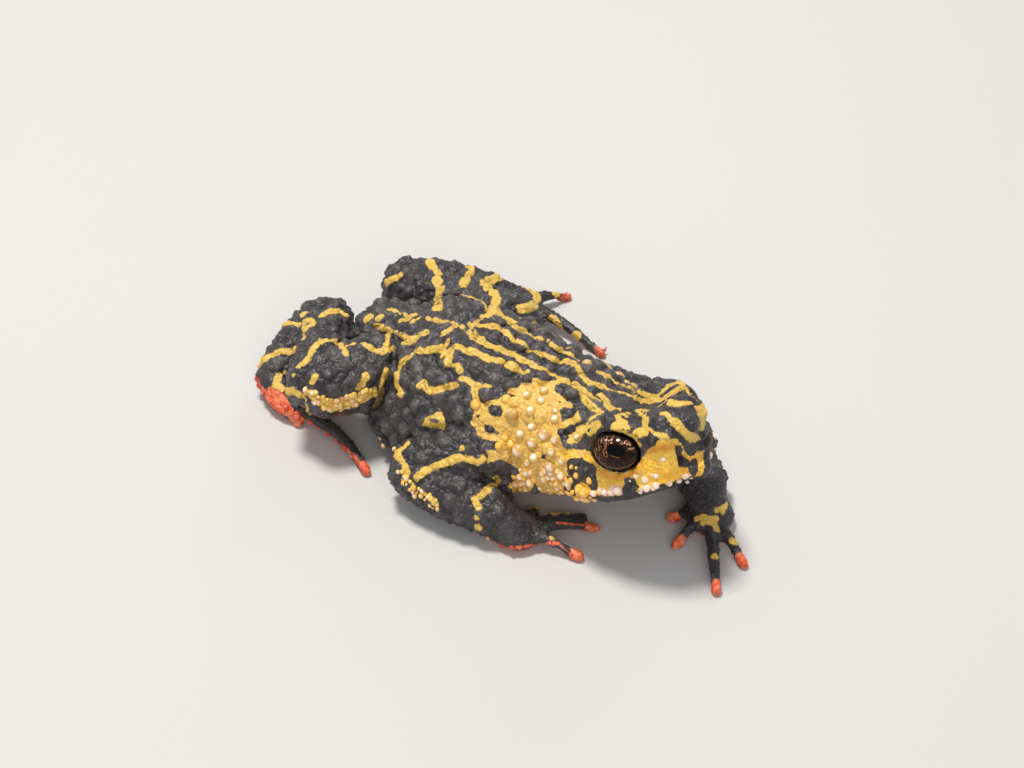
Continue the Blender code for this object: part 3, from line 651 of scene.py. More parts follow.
def rough_body(bones):
    """The flesh nodes with their gaps closed and their joints rounded, as one closed surface."""
    bm = bmesh.new()
    for name in FLESH:
        bm.from_mesh(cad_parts[name].data)
    bmesh.ops.remove_doubles(bm, verts=bm.verts, dist=0.001 * MM)
    body = object_from(bm, "skin")
    swell = body.modifiers.new("Swell", "DISPLACE")
    swell.strength = SWELL * MM
    swell.mid_level = 0.0
    apply_modifiers(body)
    bm = bmesh.new()
    bm.from_mesh(body.data)
    for side in SIDES:
        for part, radius in JOINT_BALLS.items():
            end = bones[f"{part}_{side}"][1]
            add_ball(bm, end, (radius + SWELL,) * 3)
        for tip, inward in digit_ends(f"hand_{side}", bones):
            if (round(tip.x, 1), round(tip.y, 1)) in DARK_TIPS:
                continue
            centre = tip + inward * KNOB_RADIUS * 0.7
            add_ball(bm, centre, (KNOB_RADIUS + 0.1, KNOB_RADIUS + 0.1, KNOB_RADIUS), rings=14)
    for node in EYES:
        for fold in LID_FOLDS:
            add_tube(bm, lid_path(node, fold), LID_RING, closed=True)
    bmesh.ops.recalc_face_normals(bm, faces=bm.faces)
    bm.to_mesh(body.data)
    bm.free()
    remesh = body.modifiers.new("Remesh", "REMESH")
    remesh.mode = "VOXEL"
    remesh.voxel_size = mesh_edge()
    remesh.adaptivity = 0.0
    apply_modifiers(body)
    keep_largest(body.data)
    return body


def keep_largest(mesh):
    """Keep only the largest closed surface, which drops the walls of sealed hollows."""
    bm = bmesh.new()
    bm.from_mesh(mesh)
    seen = set()
    groups = []
    for vert in bm.verts:
        if vert in seen:
            continue
        group = [vert]
        seen.add(vert)
        for member in group:
            for edge in member.link_edges:
                other = edge.other_vert(member)
                if other not in seen:
                    seen.add(other)
                    group.append(other)
        groups.append(group)
    groups.sort(key=len)
    for group in groups[:-1]:
        bmesh.ops.delete(bm, geom=group, context="VERTS")
    bm.to_mesh(mesh)
    bm.free()


def node_of_vertices(places):
    """For each place the number of the flesh node that lies nearest."""
    corners, faces, owner = [], [], []
    for number, name in enumerate(FLESH):
        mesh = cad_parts[name].data
        start = len(corners)
        corners += [v.co / MM for v in mesh.vertices]
        faces += [tuple(start + v for v in p.vertices) for p in mesh.polygons]
        owner += [number] * len(mesh.polygons)
    tree = BVHTree.FromPolygons(corners, faces)
    return np.array([owner[tree.find_nearest(Vector(p))[2]] for p in places])


# Markings

STROKE_REACH = 1.6


def curve_through(points, step):
    """Places along a smooth curve through points of two or three numbers, about a step apart."""
    points = [np.array(p, float) for p in points]
    last = len(points) - 1
    result = []
    for i in range(last):
        before = points[i - 1] if i else 2 * points[0] - points[1]
        after = points[i + 2] if i + 2 <= last else 2 * points[last] - points[last - 1]
        start, end = points[i], points[i + 1]
        count = max(1, int(np.linalg.norm(end - start) / step))
        for k in range(count):
            t = k / count
            bend = (2 * before - 5 * start + 4 * end - after) * t ** 2
            twist = (3 * start - before - 3 * end + after) * t ** 3
            result.append(0.5 * (2 * start + (end - before) * t + bend + twist))
    result.append(points[last])
    return result


class SkinMap:
    """Finds places on the skin, from pixels of the photograph, by mirroring, or from one limb to another."""

    def __init__(self, mesh, bones):
        self.tree = tree_of(mesh)
        self.eye = view_place() / MM
        self.bones = bones

    def at_pixel(self, x, y):
        """The place on the skin that shows at a pixel, or the nearest one to its ray."""
        way = pixel_way(x, y)
        hit, normal, _, _ = self.tree.ray_cast(self.eye, way)
        if hit is not None:
            return hit, normal
        best = None
        middle = self.eye + way * (VIEW_DISTANCE / MM)
        for k in range(-30, 31):
            place, normal, _, gap = self.tree.find_nearest(middle + way * k * 0.8)
            if best is None or gap < best[2]:
                best = (place, normal, gap)
        return best[0], best[1]

    def stroke(self, line, step=5.0):
        """A stripe's half width and its places on the skin."""
        return line[0], [self.at_pixel(x, y)[0] for x, y in curve_through(line[1:], step)]

    def mirrored(self, stroke):
        """A stripe of the right side set on the left side."""
        width, places = stroke
        return width, [self.tree.find_nearest(Vector((p.x, -p.y, p.z)))[0] for p in places]

    def on_both_sides(self, lines):
        """Strokes for lines of the right side, and for their mirror image."""
        strokes = [self.stroke(line) for line in lines]
        return strokes + [self.mirrored(stroke) for stroke in strokes]

    def hidden_run(self, stroke):
        """The part of a stripe on skin that faces away from the camera, or none if that is too short."""
        width, places = stroke
        back = view_axes()[2]
        kept = [p for p in places if self.tree.find_nearest(p)[1].dot(back) < 0.05]
        return (width, kept) if len(kept) > 1 else None

    def carried(self, stroke, source, target):
        """A stripe of one limb segment set on the same segment of the other side, mirrored."""
        width, places = stroke
        start, end = self.bones[source]
        other_start, other_end = self.bones[target]
        axes = limb_axes(start, end)
        other_axes = limb_axes(other_start, other_end)
        stretch = (other_end - other_start).length / (end - start).length
        moved = []
        for place in places:
            along, side, rise = ((place - start).dot(axis) for axis in axes)
            spot = other_start + other_axes[0] * along * stretch - other_axes[1] * side + other_axes[2] * rise
            moved.append(self.tree.find_nearest(spot)[0])
        return width, moved


def limb_axes(start, end):
    """Axes along a limb segment, to its side and upward."""
    along = (end - start).normalized()
    side = along.cross(Vector((0, 0, 1))).normalized()
    return along, side, side.cross(along)


def stroke_distance(places, strokes, reach=STROKE_REACH):
    """Distance of each place to the edge of the nearest stripe, below zero inside, and to its middle line."""
    edge = np.full(len(places), reach)
    core = np.full(len(places), reach)
    for width, path in strokes:
        path = np.array([tuple(p) for p in path])
        low, high = path.min(0) - reach, path.max(0) + reach
        chosen = np.flatnonzero(np.all((places > low) & (places < high), axis=1))
        near = places[chosen]
        best = np.full(len(chosen), np.inf)
        for start, end in zip(path, path[1:]):
            along = end - start
            length = max(along @ along, 1e-9)
            share = np.clip((near - start) @ along / length, 0, 1)
            best = np.minimum(best, np.linalg.norm(near - start - share[:, None] * along, axis=1))
        edge[chosen] = np.minimum(edge[chosen], best - width)
        core[chosen] = np.minimum(core[chosen], best)
    return edge, core


def outline_distance(pixels, outline):
    """Signed distance in millimetres of pixels to a closed outline, below zero inside."""
    corners = np.array(outline, float)
    best = np.full(len(pixels), np.inf)
    inside = np.zeros(len(pixels), bool)
    for start, end in zip(corners, np.roll(corners, -1, axis=0)):
        along = end - start
        share = np.clip((pixels - start) @ along / (along @ along), 0, 1)
        best = np.minimum(best, np.linalg.norm(pixels - start - share[:, None] * along, axis=1))
        crosses = (start[1] > pixels[:, 1]) != (end[1] > pixels[:, 1])
        rise = np.where(end[1] == start[1], 1e-9, end[1] - start[1])
        inside ^= crosses & (pixels[:, 0] < (end[0] - start[0]) * (pixels[:, 1] - start[1]) / rise + start[0])
    return np.where(inside, -best, best) / PIXELS_PER_MM


def patch_distance(places, normals, outlines, allowed, reach=STROKE_REACH):
    """Distance to the nearest outline, on the skin the photograph shows and mirrored on the hidden side."""
    distance = np.full(len(places), reach)
    shown = normals @ np.array(view_axes()[2])
    for flip in (1, -1):
        if flip > 0:
            chosen = allowed & ((places[:, 1] < 0) | (shown > 0))
        else:
            chosen = allowed & (places[:, 1] >= 0) & (shown <= 0.05)
        turned = places[chosen] * np.array((1, flip, 1))
        facing = (normals[chosen] * np.array((1, flip, 1))) @ np.array(view_axes()[2]) > -0.25
        pixels = to_pixels(turned)
        found = np.full(len(turned), reach)
        for outline in outlines:
            found = np.minimum(found, outline_distance(pixels, outline))
        distance[chosen] = np.where(facing, found, reach)
    return distance


# Warts

# Edge length in metres at which the joints take their smoothing rounds as they are
SMOOTH_EDGE = 0.0002
# Relief of stripes and lip, in millimetres
STRIPE_RISE = 0.045
LIP_CREASE = 0.22
LIP_ROLL = 0.06
STRIPE_WIDENING = 0.04


def mesh_edge():
    """Length of the skin's edges in metres."""
    return sizes().voxel


def gap_to(places, spots):
    """Distance of each place to the nearest of some spots."""
    return np.min([np.linalg.norm(places - np.array(spot), axis=1) for spot in spots], axis=0)


def kd_tree(places):
    tree = KDTree(len(places))
    for k, place in enumerate(places):
        tree.insert(place, k)
    tree.balance()
    return tree


def soft_noise(places, size, seed):
    """Smooth random values from 0 to 1 with bumps of a given size in millimetres."""
    cells = 96
    lattice = np.random.default_rng(seed).random((cells, cells, cells))
    scaled = places / size + 500
    base = np.floor(scaled).astype(int)
    part = scaled - base
    part = part * part * (3 - 2 * part)
    total = np.zeros(len(places))
    for dx in (0, 1):
        for dy in (0, 1):
            for dz in (0, 1):
                spot = (base + (dx, dy, dz)) % cells
                weight = np.ones(len(places))
                for axis, step in enumerate((dx, dy, dz)):
                    weight = weight * (part[:, axis] if step else 1 - part[:, axis])
                total += weight * lattice[spot[:, 0], spot[:, 1], spot[:, 2]]
    return total


def spread(places, allowed, spacing, rng):
    """Numbers of vertices picked at random, no two nearer than a spacing."""
    numbers = np.flatnonzero(allowed)
    if len(numbers) == 0:
        return numbers
    tree = kd_tree(places[numbers])
    free = np.ones(len(numbers), bool)
    picked = []
    for k in rng.permutation(len(numbers)):
        if not free[k]:
            continue
        picked.append(numbers[k])
        for _, other, _ in tree.find_range(places[numbers[k]], spacing):
            free[other] = False
    return np.array(picked)


def raise_warts(tree, places, lift, centres, radii, heights):
    """Add domes of given radii and heights to a height for each vertex, the higher one winning."""
    for centre, radius, height in zip(centres, radii, heights):
        found = tree.find_range(centre, radius)
        for _, number, distance in found:
            share = distance / radius
            rise = height * (1 - share * share) ** 1.3
            if rise > lift[number]:
                lift[number] = rise


# Materials

class Graph:
    """A material's nodes, made one call at a time."""

    def __init__(self, name):
        self.material = bpy.data.materials.new(name)
        self.material.use_nodes = True
        self.nodes = self.material.node_tree.nodes
        self.links = self.material.node_tree.links
        self.shader = self.nodes["Principled BSDF"]

    def feed(self, socket, value):
        if isinstance(value, bpy.types.NodeSocket):
            self.links.new(value, socket)
        elif hasattr(value, "__len__") and len(value) == 3 and len(socket.default_value) == 4:
            socket.default_value = (*value, 1)
        else:
            socket.default_value = value

    def value(self, name):
        node = self.nodes.new("ShaderNodeAttribute")
        node.attribute_name = name
        return node.outputs["Fac"]

    def place(self):
        return self.nodes.new("ShaderNodeTexCoord").outputs["Object"]

    def noise(self, scale, detail=2.0, roughness=0.5, place=None):
        node = self.nodes.new("ShaderNodeTexNoise")
        self.links.new(place or self.place(), node.inputs["Vector"])
        node.inputs["Scale"].default_value = scale
        node.inputs["Detail"].default_value = detail
        node.inputs["Roughness"].default_value = roughness
        return node.outputs["Fac"]

    def cells(self, scale, smooth=0.4, place=None):
        node = self.nodes.new("ShaderNodeTexVoronoi")
        node.feature = "SMOOTH_F1"
        self.links.new(place or self.place(), node.inputs["Vector"])
        node.inputs["Scale"].default_value = scale
        node.inputs["Smoothness"].default_value = smooth
        return node.outputs["Distance"]

    def maths(self, kind, first, second=0.0):
        node = self.nodes.new("ShaderNodeMath")
        node.operation = kind
        self.feed(node.inputs[0], first)
        self.feed(node.inputs[1], second)
        return node.outputs[0]

    def times(self, first, second):
        return self.maths("MULTIPLY", first, second)

    def plus(self, first, second):
        return self.maths("ADD", first, second)

    def minus(self, first, second):
        return self.maths("SUBTRACT", first, second)

    def between(self, value, low, high, start=0.0, end=1.0):
        """Map a value from low to high onto start to end, smoothly and clamped."""
        node = self.nodes.new("ShaderNodeMapRange")
        node.interpolation_type = "SMOOTHSTEP"
        self.feed(node.inputs["Value"], value)
        node.inputs["From Min"].default_value = low
        node.inputs["From Max"].default_value = high
        node.inputs["To Min"].default_value = start
        node.inputs["To Max"].default_value = end
        return node.outputs["Result"]

    def mix(self, share, first, second):
        node = self.nodes.new("ShaderNodeMix")
        node.data_type = "RGBA"
        self.feed(node.inputs[0], share)
        self.feed(node.inputs[6], first)
        self.feed(node.inputs[7], second)
        return node.outputs[2]

    def bump(self, height, depth, strength):
        node = self.nodes.new("ShaderNodeBump")
        node.inputs["Strength"].default_value = strength
        node.inputs["Distance"].default_value = depth
        self.feed(node.inputs["Height"], height)
        return node.outputs["Normal"]

    def finish(self, base, roughness, normal=None, **fixed):
        self.feed(self.shader.inputs["Base Color"], base)
        self.feed(self.shader.inputs["Roughness"], roughness)
        if normal is not None:
            self.links.new(normal, self.shader.inputs["Normal"])
        for name, value in fixed.items():
            self.feed(self.shader.inputs[name.replace("_", " ")], value)
        return self.material


def skin_material():
    """Charcoal warty skin with yellow stripes, a golden gland and cheek, pale lips and red soles, with painted
    sheen on the wart tops, painted glints, and painted shade in recesses, folds, mouth, nostrils and under the
    brow.
    """
    g = Graph("toad_skin")
    c = colours()
    place = g.place()
    wobble = g.minus(g.noise(2400, 3, 0.6, place), 0.5)
    fine = g.minus(g.noise(6000, 2, 0.5, place), 0.5)
    edge = g.plus(g.times(wobble, 0.28), g.times(fine, 0.18))

    def mask(name, reach=0.03):
        return g.between(g.plus(g.value(name), edge), reach, -reach)

    patches = g.noise(420, 3, 0.6, place)
    lift = g.value("lift")
    ground = g.mix(g.between(patches, 0.35, 0.7), c.black, [0.6 * x for x in c.dusty_and_sheen])
    # Painted sheen: the higher a wart rises, the more its top takes the dusty black, leaving painted shade in the
    # hollows between
    ground = g.mix(g.between(lift, 0.05, 0.4, 0.0, 0.8), ground, c.dusty_and_sheen)
    # Painted glints: fine pale bluish specks in the colour, which also get a low roughness
    glint_specks = g.between(g.noise(5200, 1, 0.5, place), 0.66, 0.74, 0.0, 0.6)
    ground = g.mix(glint_specks, ground, (0.17, 0.17, 0.19))
    # More painted glints: fine bluish-grey dots in the colour, more of them in the paler patches
    glint_dots = g.between(g.noise(8600, 2, 0.5, place), 0.60, 0.70)
    glint_dot_share = g.times(glint_dots, g.between(patches, 0.4, 0.6, 0.2, 0.8))
    ground = g.mix(glint_dot_share, ground, (0.12, 0.125, 0.145))
    rust = g.between(g.noise(1100, 2, 0.7, place), 0.69, 0.76, 0.0, 0.5)
    ground = g.mix(rust, ground, (0.09, 0.04, 0.025))
    blotches = g.between(g.noise(330, 2, 0.5, place), 0.54, 0.58)
    belly = g.times(g.between(g.value("under"), -0.45, -0.7), blotches)
    ground = g.mix(belly, ground, c.red)

    cells = g.cells(4600, 0.3, place)
    # Painted shade: where the cells sink the bump between granules, the colour is darkened
    groove_shade = g.between(cells, 0.42, 0.8, 0.0, 0.5)
    golden = g.mix(g.between(g.value("cheek"), 0.3, -0.4), c.gold, c.cheek)
    bright = g.between(g.noise(1300, 3, 0.6, place), 0.35, 0.7, 0.0, 0.6)
    golden = g.mix(bright, golden, (0.88, 0.60, 0.10))
    brown = g.between(g.noise(3600, 3, 0.6, place), 0.54, 0.74, 0.0, 0.25)
    golden = g.mix(brown, golden, (0.52, 0.29, 0.05))
    # Painted shade in the recesses between the gold's granules
    golden = g.mix(groove_shade, golden, (0.50, 0.22, 0.02))
    rosy = g.between(g.noise(800, 2, 0.5, place), 0.58, 0.7, 0.0, 0.5)
    golden = g.mix(rosy, golden, (0.86, 0.50, 0.17))
    clouds = g.between(g.noise(620, 2, 0.5, place), 0.42, 0.62)
    orange = g.times(g.between(g.value("cheek"), 0.1, -0.2), clouds)
    golden = g.mix(g.times(orange, 0.6), golden, (0.88, 0.42, 0.028))
    # Painted shade: deeper orange under the brow ridge and under the eye
    golden = g.mix(g.between(g.value("orange_shade"), 0.12, -0.4, 0.0, 0.85), golden, (0.62, 0.25, 0.02))
    gold_share = mask("gold", 0.04)
    base = g.mix(gold_share, ground, golden)

    deeper = g.between(g.noise(2600, 2, 0.5, place), 0.4, 0.8, 0.0, 0.5)
    lemon = g.mix(deeper, c.yellow, (0.60, 0.37, 0.06))
    # Painted shade in the recesses between the stripes' granules
    lemon = g.mix(g.times(groove_shade, 0.5), lemon, (0.40, 0.24, 0.03))
    rim_tone = g.between(g.plus(g.value("yellow"), edge), -0.13, 0.0, 0.0, 0.5)
    lemon = g.mix(rim_tone, lemon, (0.46, 0.25, 0.03))
    core = g.plus(g.value("core"), g.times(wobble, 0.2))
    thread = g.times(g.between(core, 0.09, 0.03), g.between(patches, 0.42, 0.56, 0.1, 0.75))
    lemon = g.mix(thread, lemon, c.ochre)
    yellow_share = mask("yellow")
    base = g.mix(yellow_share, base, lemon)

    dark_share = mask("dark", 0.035)
    base = g.mix(dark_share, base, ground)
    pale_share = mask("pale", 0.1)
    lips = g.mix(g.between(g.noise(1800, 2, 0.5, place), 0.3, 0.65), c.pale, (0.90, 0.60, 0.44))
    base = g.mix(pale_share, base, lips)
    red_share = mask("red", 0.06)
    pinkish = g.between(g.noise(2200, 2, 0.5, place), 0.35, 0.7)
    scarlet = g.mix(pinkish, c.red, (0.80, 0.24, 0.11))
    deeper = g.between(g.noise(1200, 2, 0.5, place), 0.55, 0.65, 0.0, 0.3)
    scarlet = g.mix(deeper, scarlet, (0.22, 0.02, 0.012))
    base = g.mix(red_share, base, scarlet)
    # Painted shade: dark in the crease of the shut mouth and in the nostrils' pits
    base = g.mix(mask("mouth", 0.05), base, (0.020, 0.010, 0.008))
    # Painted shade: the deeper a fold, the darker it is painted
    base = g.mix(g.between(g.value("fold"), 0.14, 0.42, 0.0, 0.8), base, (0.006, 0.005, 0.005))
    rim_share = g.between(g.value("rim"), 0.05, -0.1)
    base = g.mix(rim_share, base, (0.010, 0.007, 0.006))

    coloured = g.maths("MAXIMUM", gold_share, g.maths("MAXIMUM", yellow_share, red_share))
    coloured = g.times(coloured, g.minus(1.0, dark_share))
    roughness = g.mix(glint_specks, (0.42, 0.42, 0.42), (0.18, 0.18, 0.18))
    roughness = g.mix(rim_share, roughness, (0.2, 0.2, 0.2))

    grain = g.cells(6200, 0.5, place)
    leather = g.noise(9500, 3, 0.6, place)
    height = g.plus(g.times(grain, -0.9), g.times(leather, 0.5))
    height = g.plus(height, g.times(g.times(coloured, cells), -0.9))
    normal = g.bump(height, 0.06 * MM, 0.9)
    return g.finish(base, roughness, normal, Specular_IOR_Level=0.5)


def bead_material(name, top, foot, roughness, coat):
    """Smooth domes, paler on top as a painted highlight and darker at the foot as painted shade."""
    g = Graph(name)
    place = g.place()
    unevenness = g.times(g.minus(g.noise(3000, 2, 0.5, place), 0.5), 0.3)
    rise = g.plus(g.value("rise"), unevenness)
    # Painted highlight on the tops and painted shade at the feet
    base = g.mix(g.between(rise, 0.70, 1.03), foot, top)
    normal = g.bump(g.noise(9000, 2, 0.5, place), 0.012 * MM, 0.7)
    return g.finish(base, roughness, normal, Coat_Weight=coat, Coat_Roughness=0.18)


def eye_material():
    """Dark wet eye: a black level pupil, fine coppery flecks above and behind it, and a thin gold line."""
    g = Graph("toad_eye")
    c = colours()
    u, v, edge = g.value("eye_u"), g.value("eye_v"), g.value("eye_edge")
    across = g.maths("POWER", g.maths("DIVIDE", g.plus(u, 0.18), 0.66), 2.0)
    rise = g.maths("POWER", g.maths("DIVIDE", v, 0.44), 2.0)
    pupil = g.maths("SQRT", g.plus(across, rise))
    place = g.place()
    flecks = g.between(g.noise(6400, 3, 0.65, place), 0.53, 0.59)
    clouds = g.between(g.noise(1500, 2, 0.5, place), 0.36, 0.56, 0.15, 1.0)
    above = g.between(v, 0.1, 0.55)
    behind = g.between(u, -0.3, -0.85, 0.0, 0.7)
    spread_out = g.maths("MAXIMUM", g.maths("MAXIMUM", above, behind), 0.08)
    share = g.times(g.times(flecks, clouds), g.between(pupil, 1.02, 1.3))
    share = g.times(g.times(share, spread_out), g.between(edge, 0.9, 0.76))
    fleck = g.mix(above, (0.52, 0.25, 0.09), c.copper)
    ground = g.mix(g.between(g.noise(2600, 3, 0.6, place), 0.4, 0.7), c.eye, (0.018, 0.005, 0.003))
    base = g.mix(share, ground, fleck)
    arc = g.times(g.between(g.maths("ABSOLUTE", g.minus(pupil, 1.1)), 0.06, 0.02),
                  g.between(v, -0.40, -0.48))
    base = g.mix(g.times(arc, 0.7), base, (0.44, 0.24, 0.06))
    line = g.times(g.between(g.maths("ABSOLUTE", g.minus(edge, 0.86)), 0.03, 0.008),
                   g.between(v, -0.3, -0.7))
    base = g.mix(g.times(line, 0.7), base, (0.34, 0.15, 0.03))
    base = g.mix(g.between(pupil, 1.04, 0.97), base, (0.0015, 0.0015, 0.0015))
    base = g.mix(g.between(edge, 0.88, 0.93), base, (0.004, 0.003, 0.002))
    return g.finish(
        base, 0.3, Coat_Weight=1.0, Coat_Roughness=0.02, Coat_IOR=1.25, Specular_IOR_Level=0.0)


def floor_material():
    """Plain pale matt floor with a faint unevenness."""
    g = Graph("studio_floor")
    base = g.mix(g.noise(14, 3, 0.5), colours().floor, [0.97 * x for x in colours().floor])
    return g.finish(base, 0.85)


# Operators

class TOAD_OT_camera(Operator):
    """Set the camera where the photograph was taken from"""

    bl_idname = "toad.camera"
    bl_label = "Camera"

    def execute(self, context):
        right, up, back = view_axes()
        camera = link(bpy.data.objects.new("Camera", bpy.data.cameras.new("Camera")))
        matrix = Matrix((right, up, back)).transposed().to_4x4()
        matrix.translation = view_place()
        camera.matrix_world = matrix
        camera.data.sensor_width = SENSOR
        camera.data.lens = FOCAL_PIXELS * SENSOR / IMAGE_WIDTH
        camera.data.clip_start = CLIP_START
        context.scene.camera = camera
        return {"FINISHED"}


class TOAD_OT_skin(Operator):
    """Make the skin as one surface round the flesh, with its folds, warts and markings"""

    bl_idname = "toad.skin"
    bl_label = "Skin"

    def execute(self, context):
        bones = find_bones()
        body = rough_body(bones)
        mesh = body.data
        if len(mesh.vertices) < LEAST_VERTICES:
            raise RuntimeError("the skin's surface was not made")
        places = smooth_body(mesh, points_of(mesh), bones)
        names = np.array(FLESH)[node_of_vertices(places)]
        places = slim_digits(mesh, places, names, bones)
        places = sculpt_head(mesh, places, bones)
        folds = fold_depth(mesh, places, names)
        places = places - normals_of(mesh) * folds[:, None]
        put_points(mesh, places)
        patches = patch_distance(places, normals_of(mesh), (GLAND, CHEEK), np.isin(names, TRUNK))
        lift = wart_heights(mesh, places, names, patches)
        places = places + normals_of(mesh) * lift[:, None]
        put_points(mesh, places)
        marks = markings(mesh, places, names, bones)
        raised = np.clip(0.5 - marks["yellow"] / 0.1, 0, 1) * STRIPE_RISE
        places = places + normals_of(mesh) * raised[:, None]
        places[:, 2] = np.maximum(places[:, 2], 0)
        put_points(mesh, places)
        # The warts' heights also drive the painted sheen on their tops
        put_values(mesh, "lift", lift)
        # The folds' depth also paints shade into them
        put_values(mesh, "fold", folds)
        for name, values in marks.items():
            put_values(mesh, name, values)
        mesh.materials.clear()
        mesh.materials.append(skin_material())
        mesh.shade_smooth()
        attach(body, "root")
        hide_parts(*FLESH)
        return {"FINISHED"}


def smooth_body(mesh, places, bones):
    """Smooth the surface a little everywhere, and more at the joints and the neck."""
    places = relax(mesh, places, 6, 0.5)
    joints = [end for name, (start, end) in bones.items() if name.rsplit("_", 1)[0] in JOINT_BALLS]
    joints += [bones[f"upper_arm_{side}"][0] for side in SIDES]
    joints += [bones[f"thigh_{side}"][0] for side in SIDES]
    near = gap_to(places, joints)
    soft = np.clip((4.2 - near) / 1.8, 0, 1)
    neck = joint_between("torso", "head")
    soft = np.maximum(soft, np.clip((1.6 - np.abs(places[:, 0] - neck.x)) / 0.8, 0, 1))
    finer = SMOOTH_EDGE / mesh_edge()
    places = relax(mesh, places, int(22 * finer ** 2), 0.55 * soft[:, None])
    put_points(mesh, places)
    places = places - normals_of(mesh) * SHRINK
    put_points(mesh, places)
    return places


def on_paws(names):
    return np.char.startswith(names, "hand") | np.char.startswith(names, "foot")


def slim_digits(mesh, places, names, bones):
    """Make the digits a little thinner, most at their tips, and keep them on the floor."""
    digits = on_paws(names)
    thinner = DIGIT_SHRINK * (digits & (places[:, 2] > 0.3))
    for name, depth in TIP_SLIMMING.items():
        near = gap_to(places, [tip for tip, _ in digit_ends(name, bones)])
        thinner = thinner + np.where(names == name, depth * np.clip(1.8 - near / TIP_LENGTH, 0, 1), 0)
    sink = np.where(places[:, 2] > 0.3, 0, thinner)
    places = places - normals_of(mesh) * thinner[:, None]
    places[:, 2] -= sink
    return places


def fold_depth(mesh, places, names):
    """Depth of the folds along which limbs meet the body or bend."""
    a, b = edge_ends(mesh)
    tree = kd_tree(places)
    depth = np.zeros(len(places))
    for side in SIDES:
        for first, second, deep in FOLDS:
            pair = (f"{first}_{side}", second if second in TRUNK else f"{second}_{side}")
            one_way = (names[a] == pair[0]) & (names[b] == pair[1])
            other_way = (names[a] == pair[1]) & (names[b] == pair[0])
            line = np.unique(a[one_way | other_way])
            for number in line[::3]:
                for _, near, gap in tree.find_range(places[number], 2 * FOLD_WIDTH):
                    rise = deep * math.exp(-(gap / FOLD_WIDTH) ** 2)
                    if rise > depth[near]:
                        depth[near] = rise
    return relax(mesh, depth[:, None] * np.ones(3), 8, 0.5)[:, 0]


def sculpt_head(mesh, places, bones):
    """Raise the brow's lumps, and press in the nostrils and the line of the mouth."""
    skin = SkinMap(mesh, bones)
    normals = normals_of(mesh)
    move = np.zeros(len(places))
    for x, y, radius, height in HEAD_LUMPS:
        spot = np.array(skin.at_pixel(x, y)[0])
        for flip in ((1, 1, 1), (1, -1, 1)):
            gap = np.linalg.norm(places - spot * np.array(flip), axis=1)
            move += height * np.exp(-(gap / (0.55 * radius)) ** 2)
    nostril = np.array(skin.at_pixel(*NOSTRIL_PIXEL)[0])
    for flip in (1, -1):
        gap = np.linalg.norm(places - nostril * np.array((1, flip, 1)), axis=1)
        move -= NOSTRIL_DEPTH * np.exp(-(gap / NOSTRIL_RADIUS) ** 2)
        move += NOSTRIL_RIM * np.exp(-((gap - 1.5 * NOSTRIL_RADIUS) / 0.16) ** 2)
    gap = lip_gap(places) / 0.2
    facing = np.clip(np.hypot(normals[:, 0], normals[:, 1]) * 1.6, 0, 1)
    move -= LIP_CREASE * np.exp(-gap ** 2) * facing
    move += LIP_ROLL * np.exp(-(gap - 2.4) ** 2 / 2) * facing
    places = open_lids(places + normals * move[:, None])
    put_points(mesh, places)
    return places


def open_lids(places):
    """Press the skin in front of each eye behind the ball, and let the lids slope up from the opening."""
    for node in EYES:
        centre = eye_shape(node)[0]
        gaze, across, rise = eye_view(node, EYE_GAZE)
        local = places - centre
        wide = np.hypot(local @ across / LID_OPENING[0], local @ rise / LID_OPENING[1])
        limit = np.interp(wide, (0.94, 1.06, 1.5, 2.2), (0.85, 1.1, 1.5, 3.0))
        depth, hit, outside = depth_on_ball(node, places, gaze, limit)
        chosen = outside & (local @ gaze > 0) & (np.linalg.norm(local, axis=1) < 4.5) & (hit | (wide < 1))
        places = places + gaze * np.where(chosen, np.minimum(depth, 0), 0)[:, None]
    return places


def lip_gap(places):
    """Height of each place over the line of the mouth, large away from the head."""
    along, heights = zip(*LIP_LINE)
    gap = places[:, 2] - np.interp(places[:, 0], along, heights)
    return np.where(places[:, 0] > along[0] - 0.2, gap, 9.0)


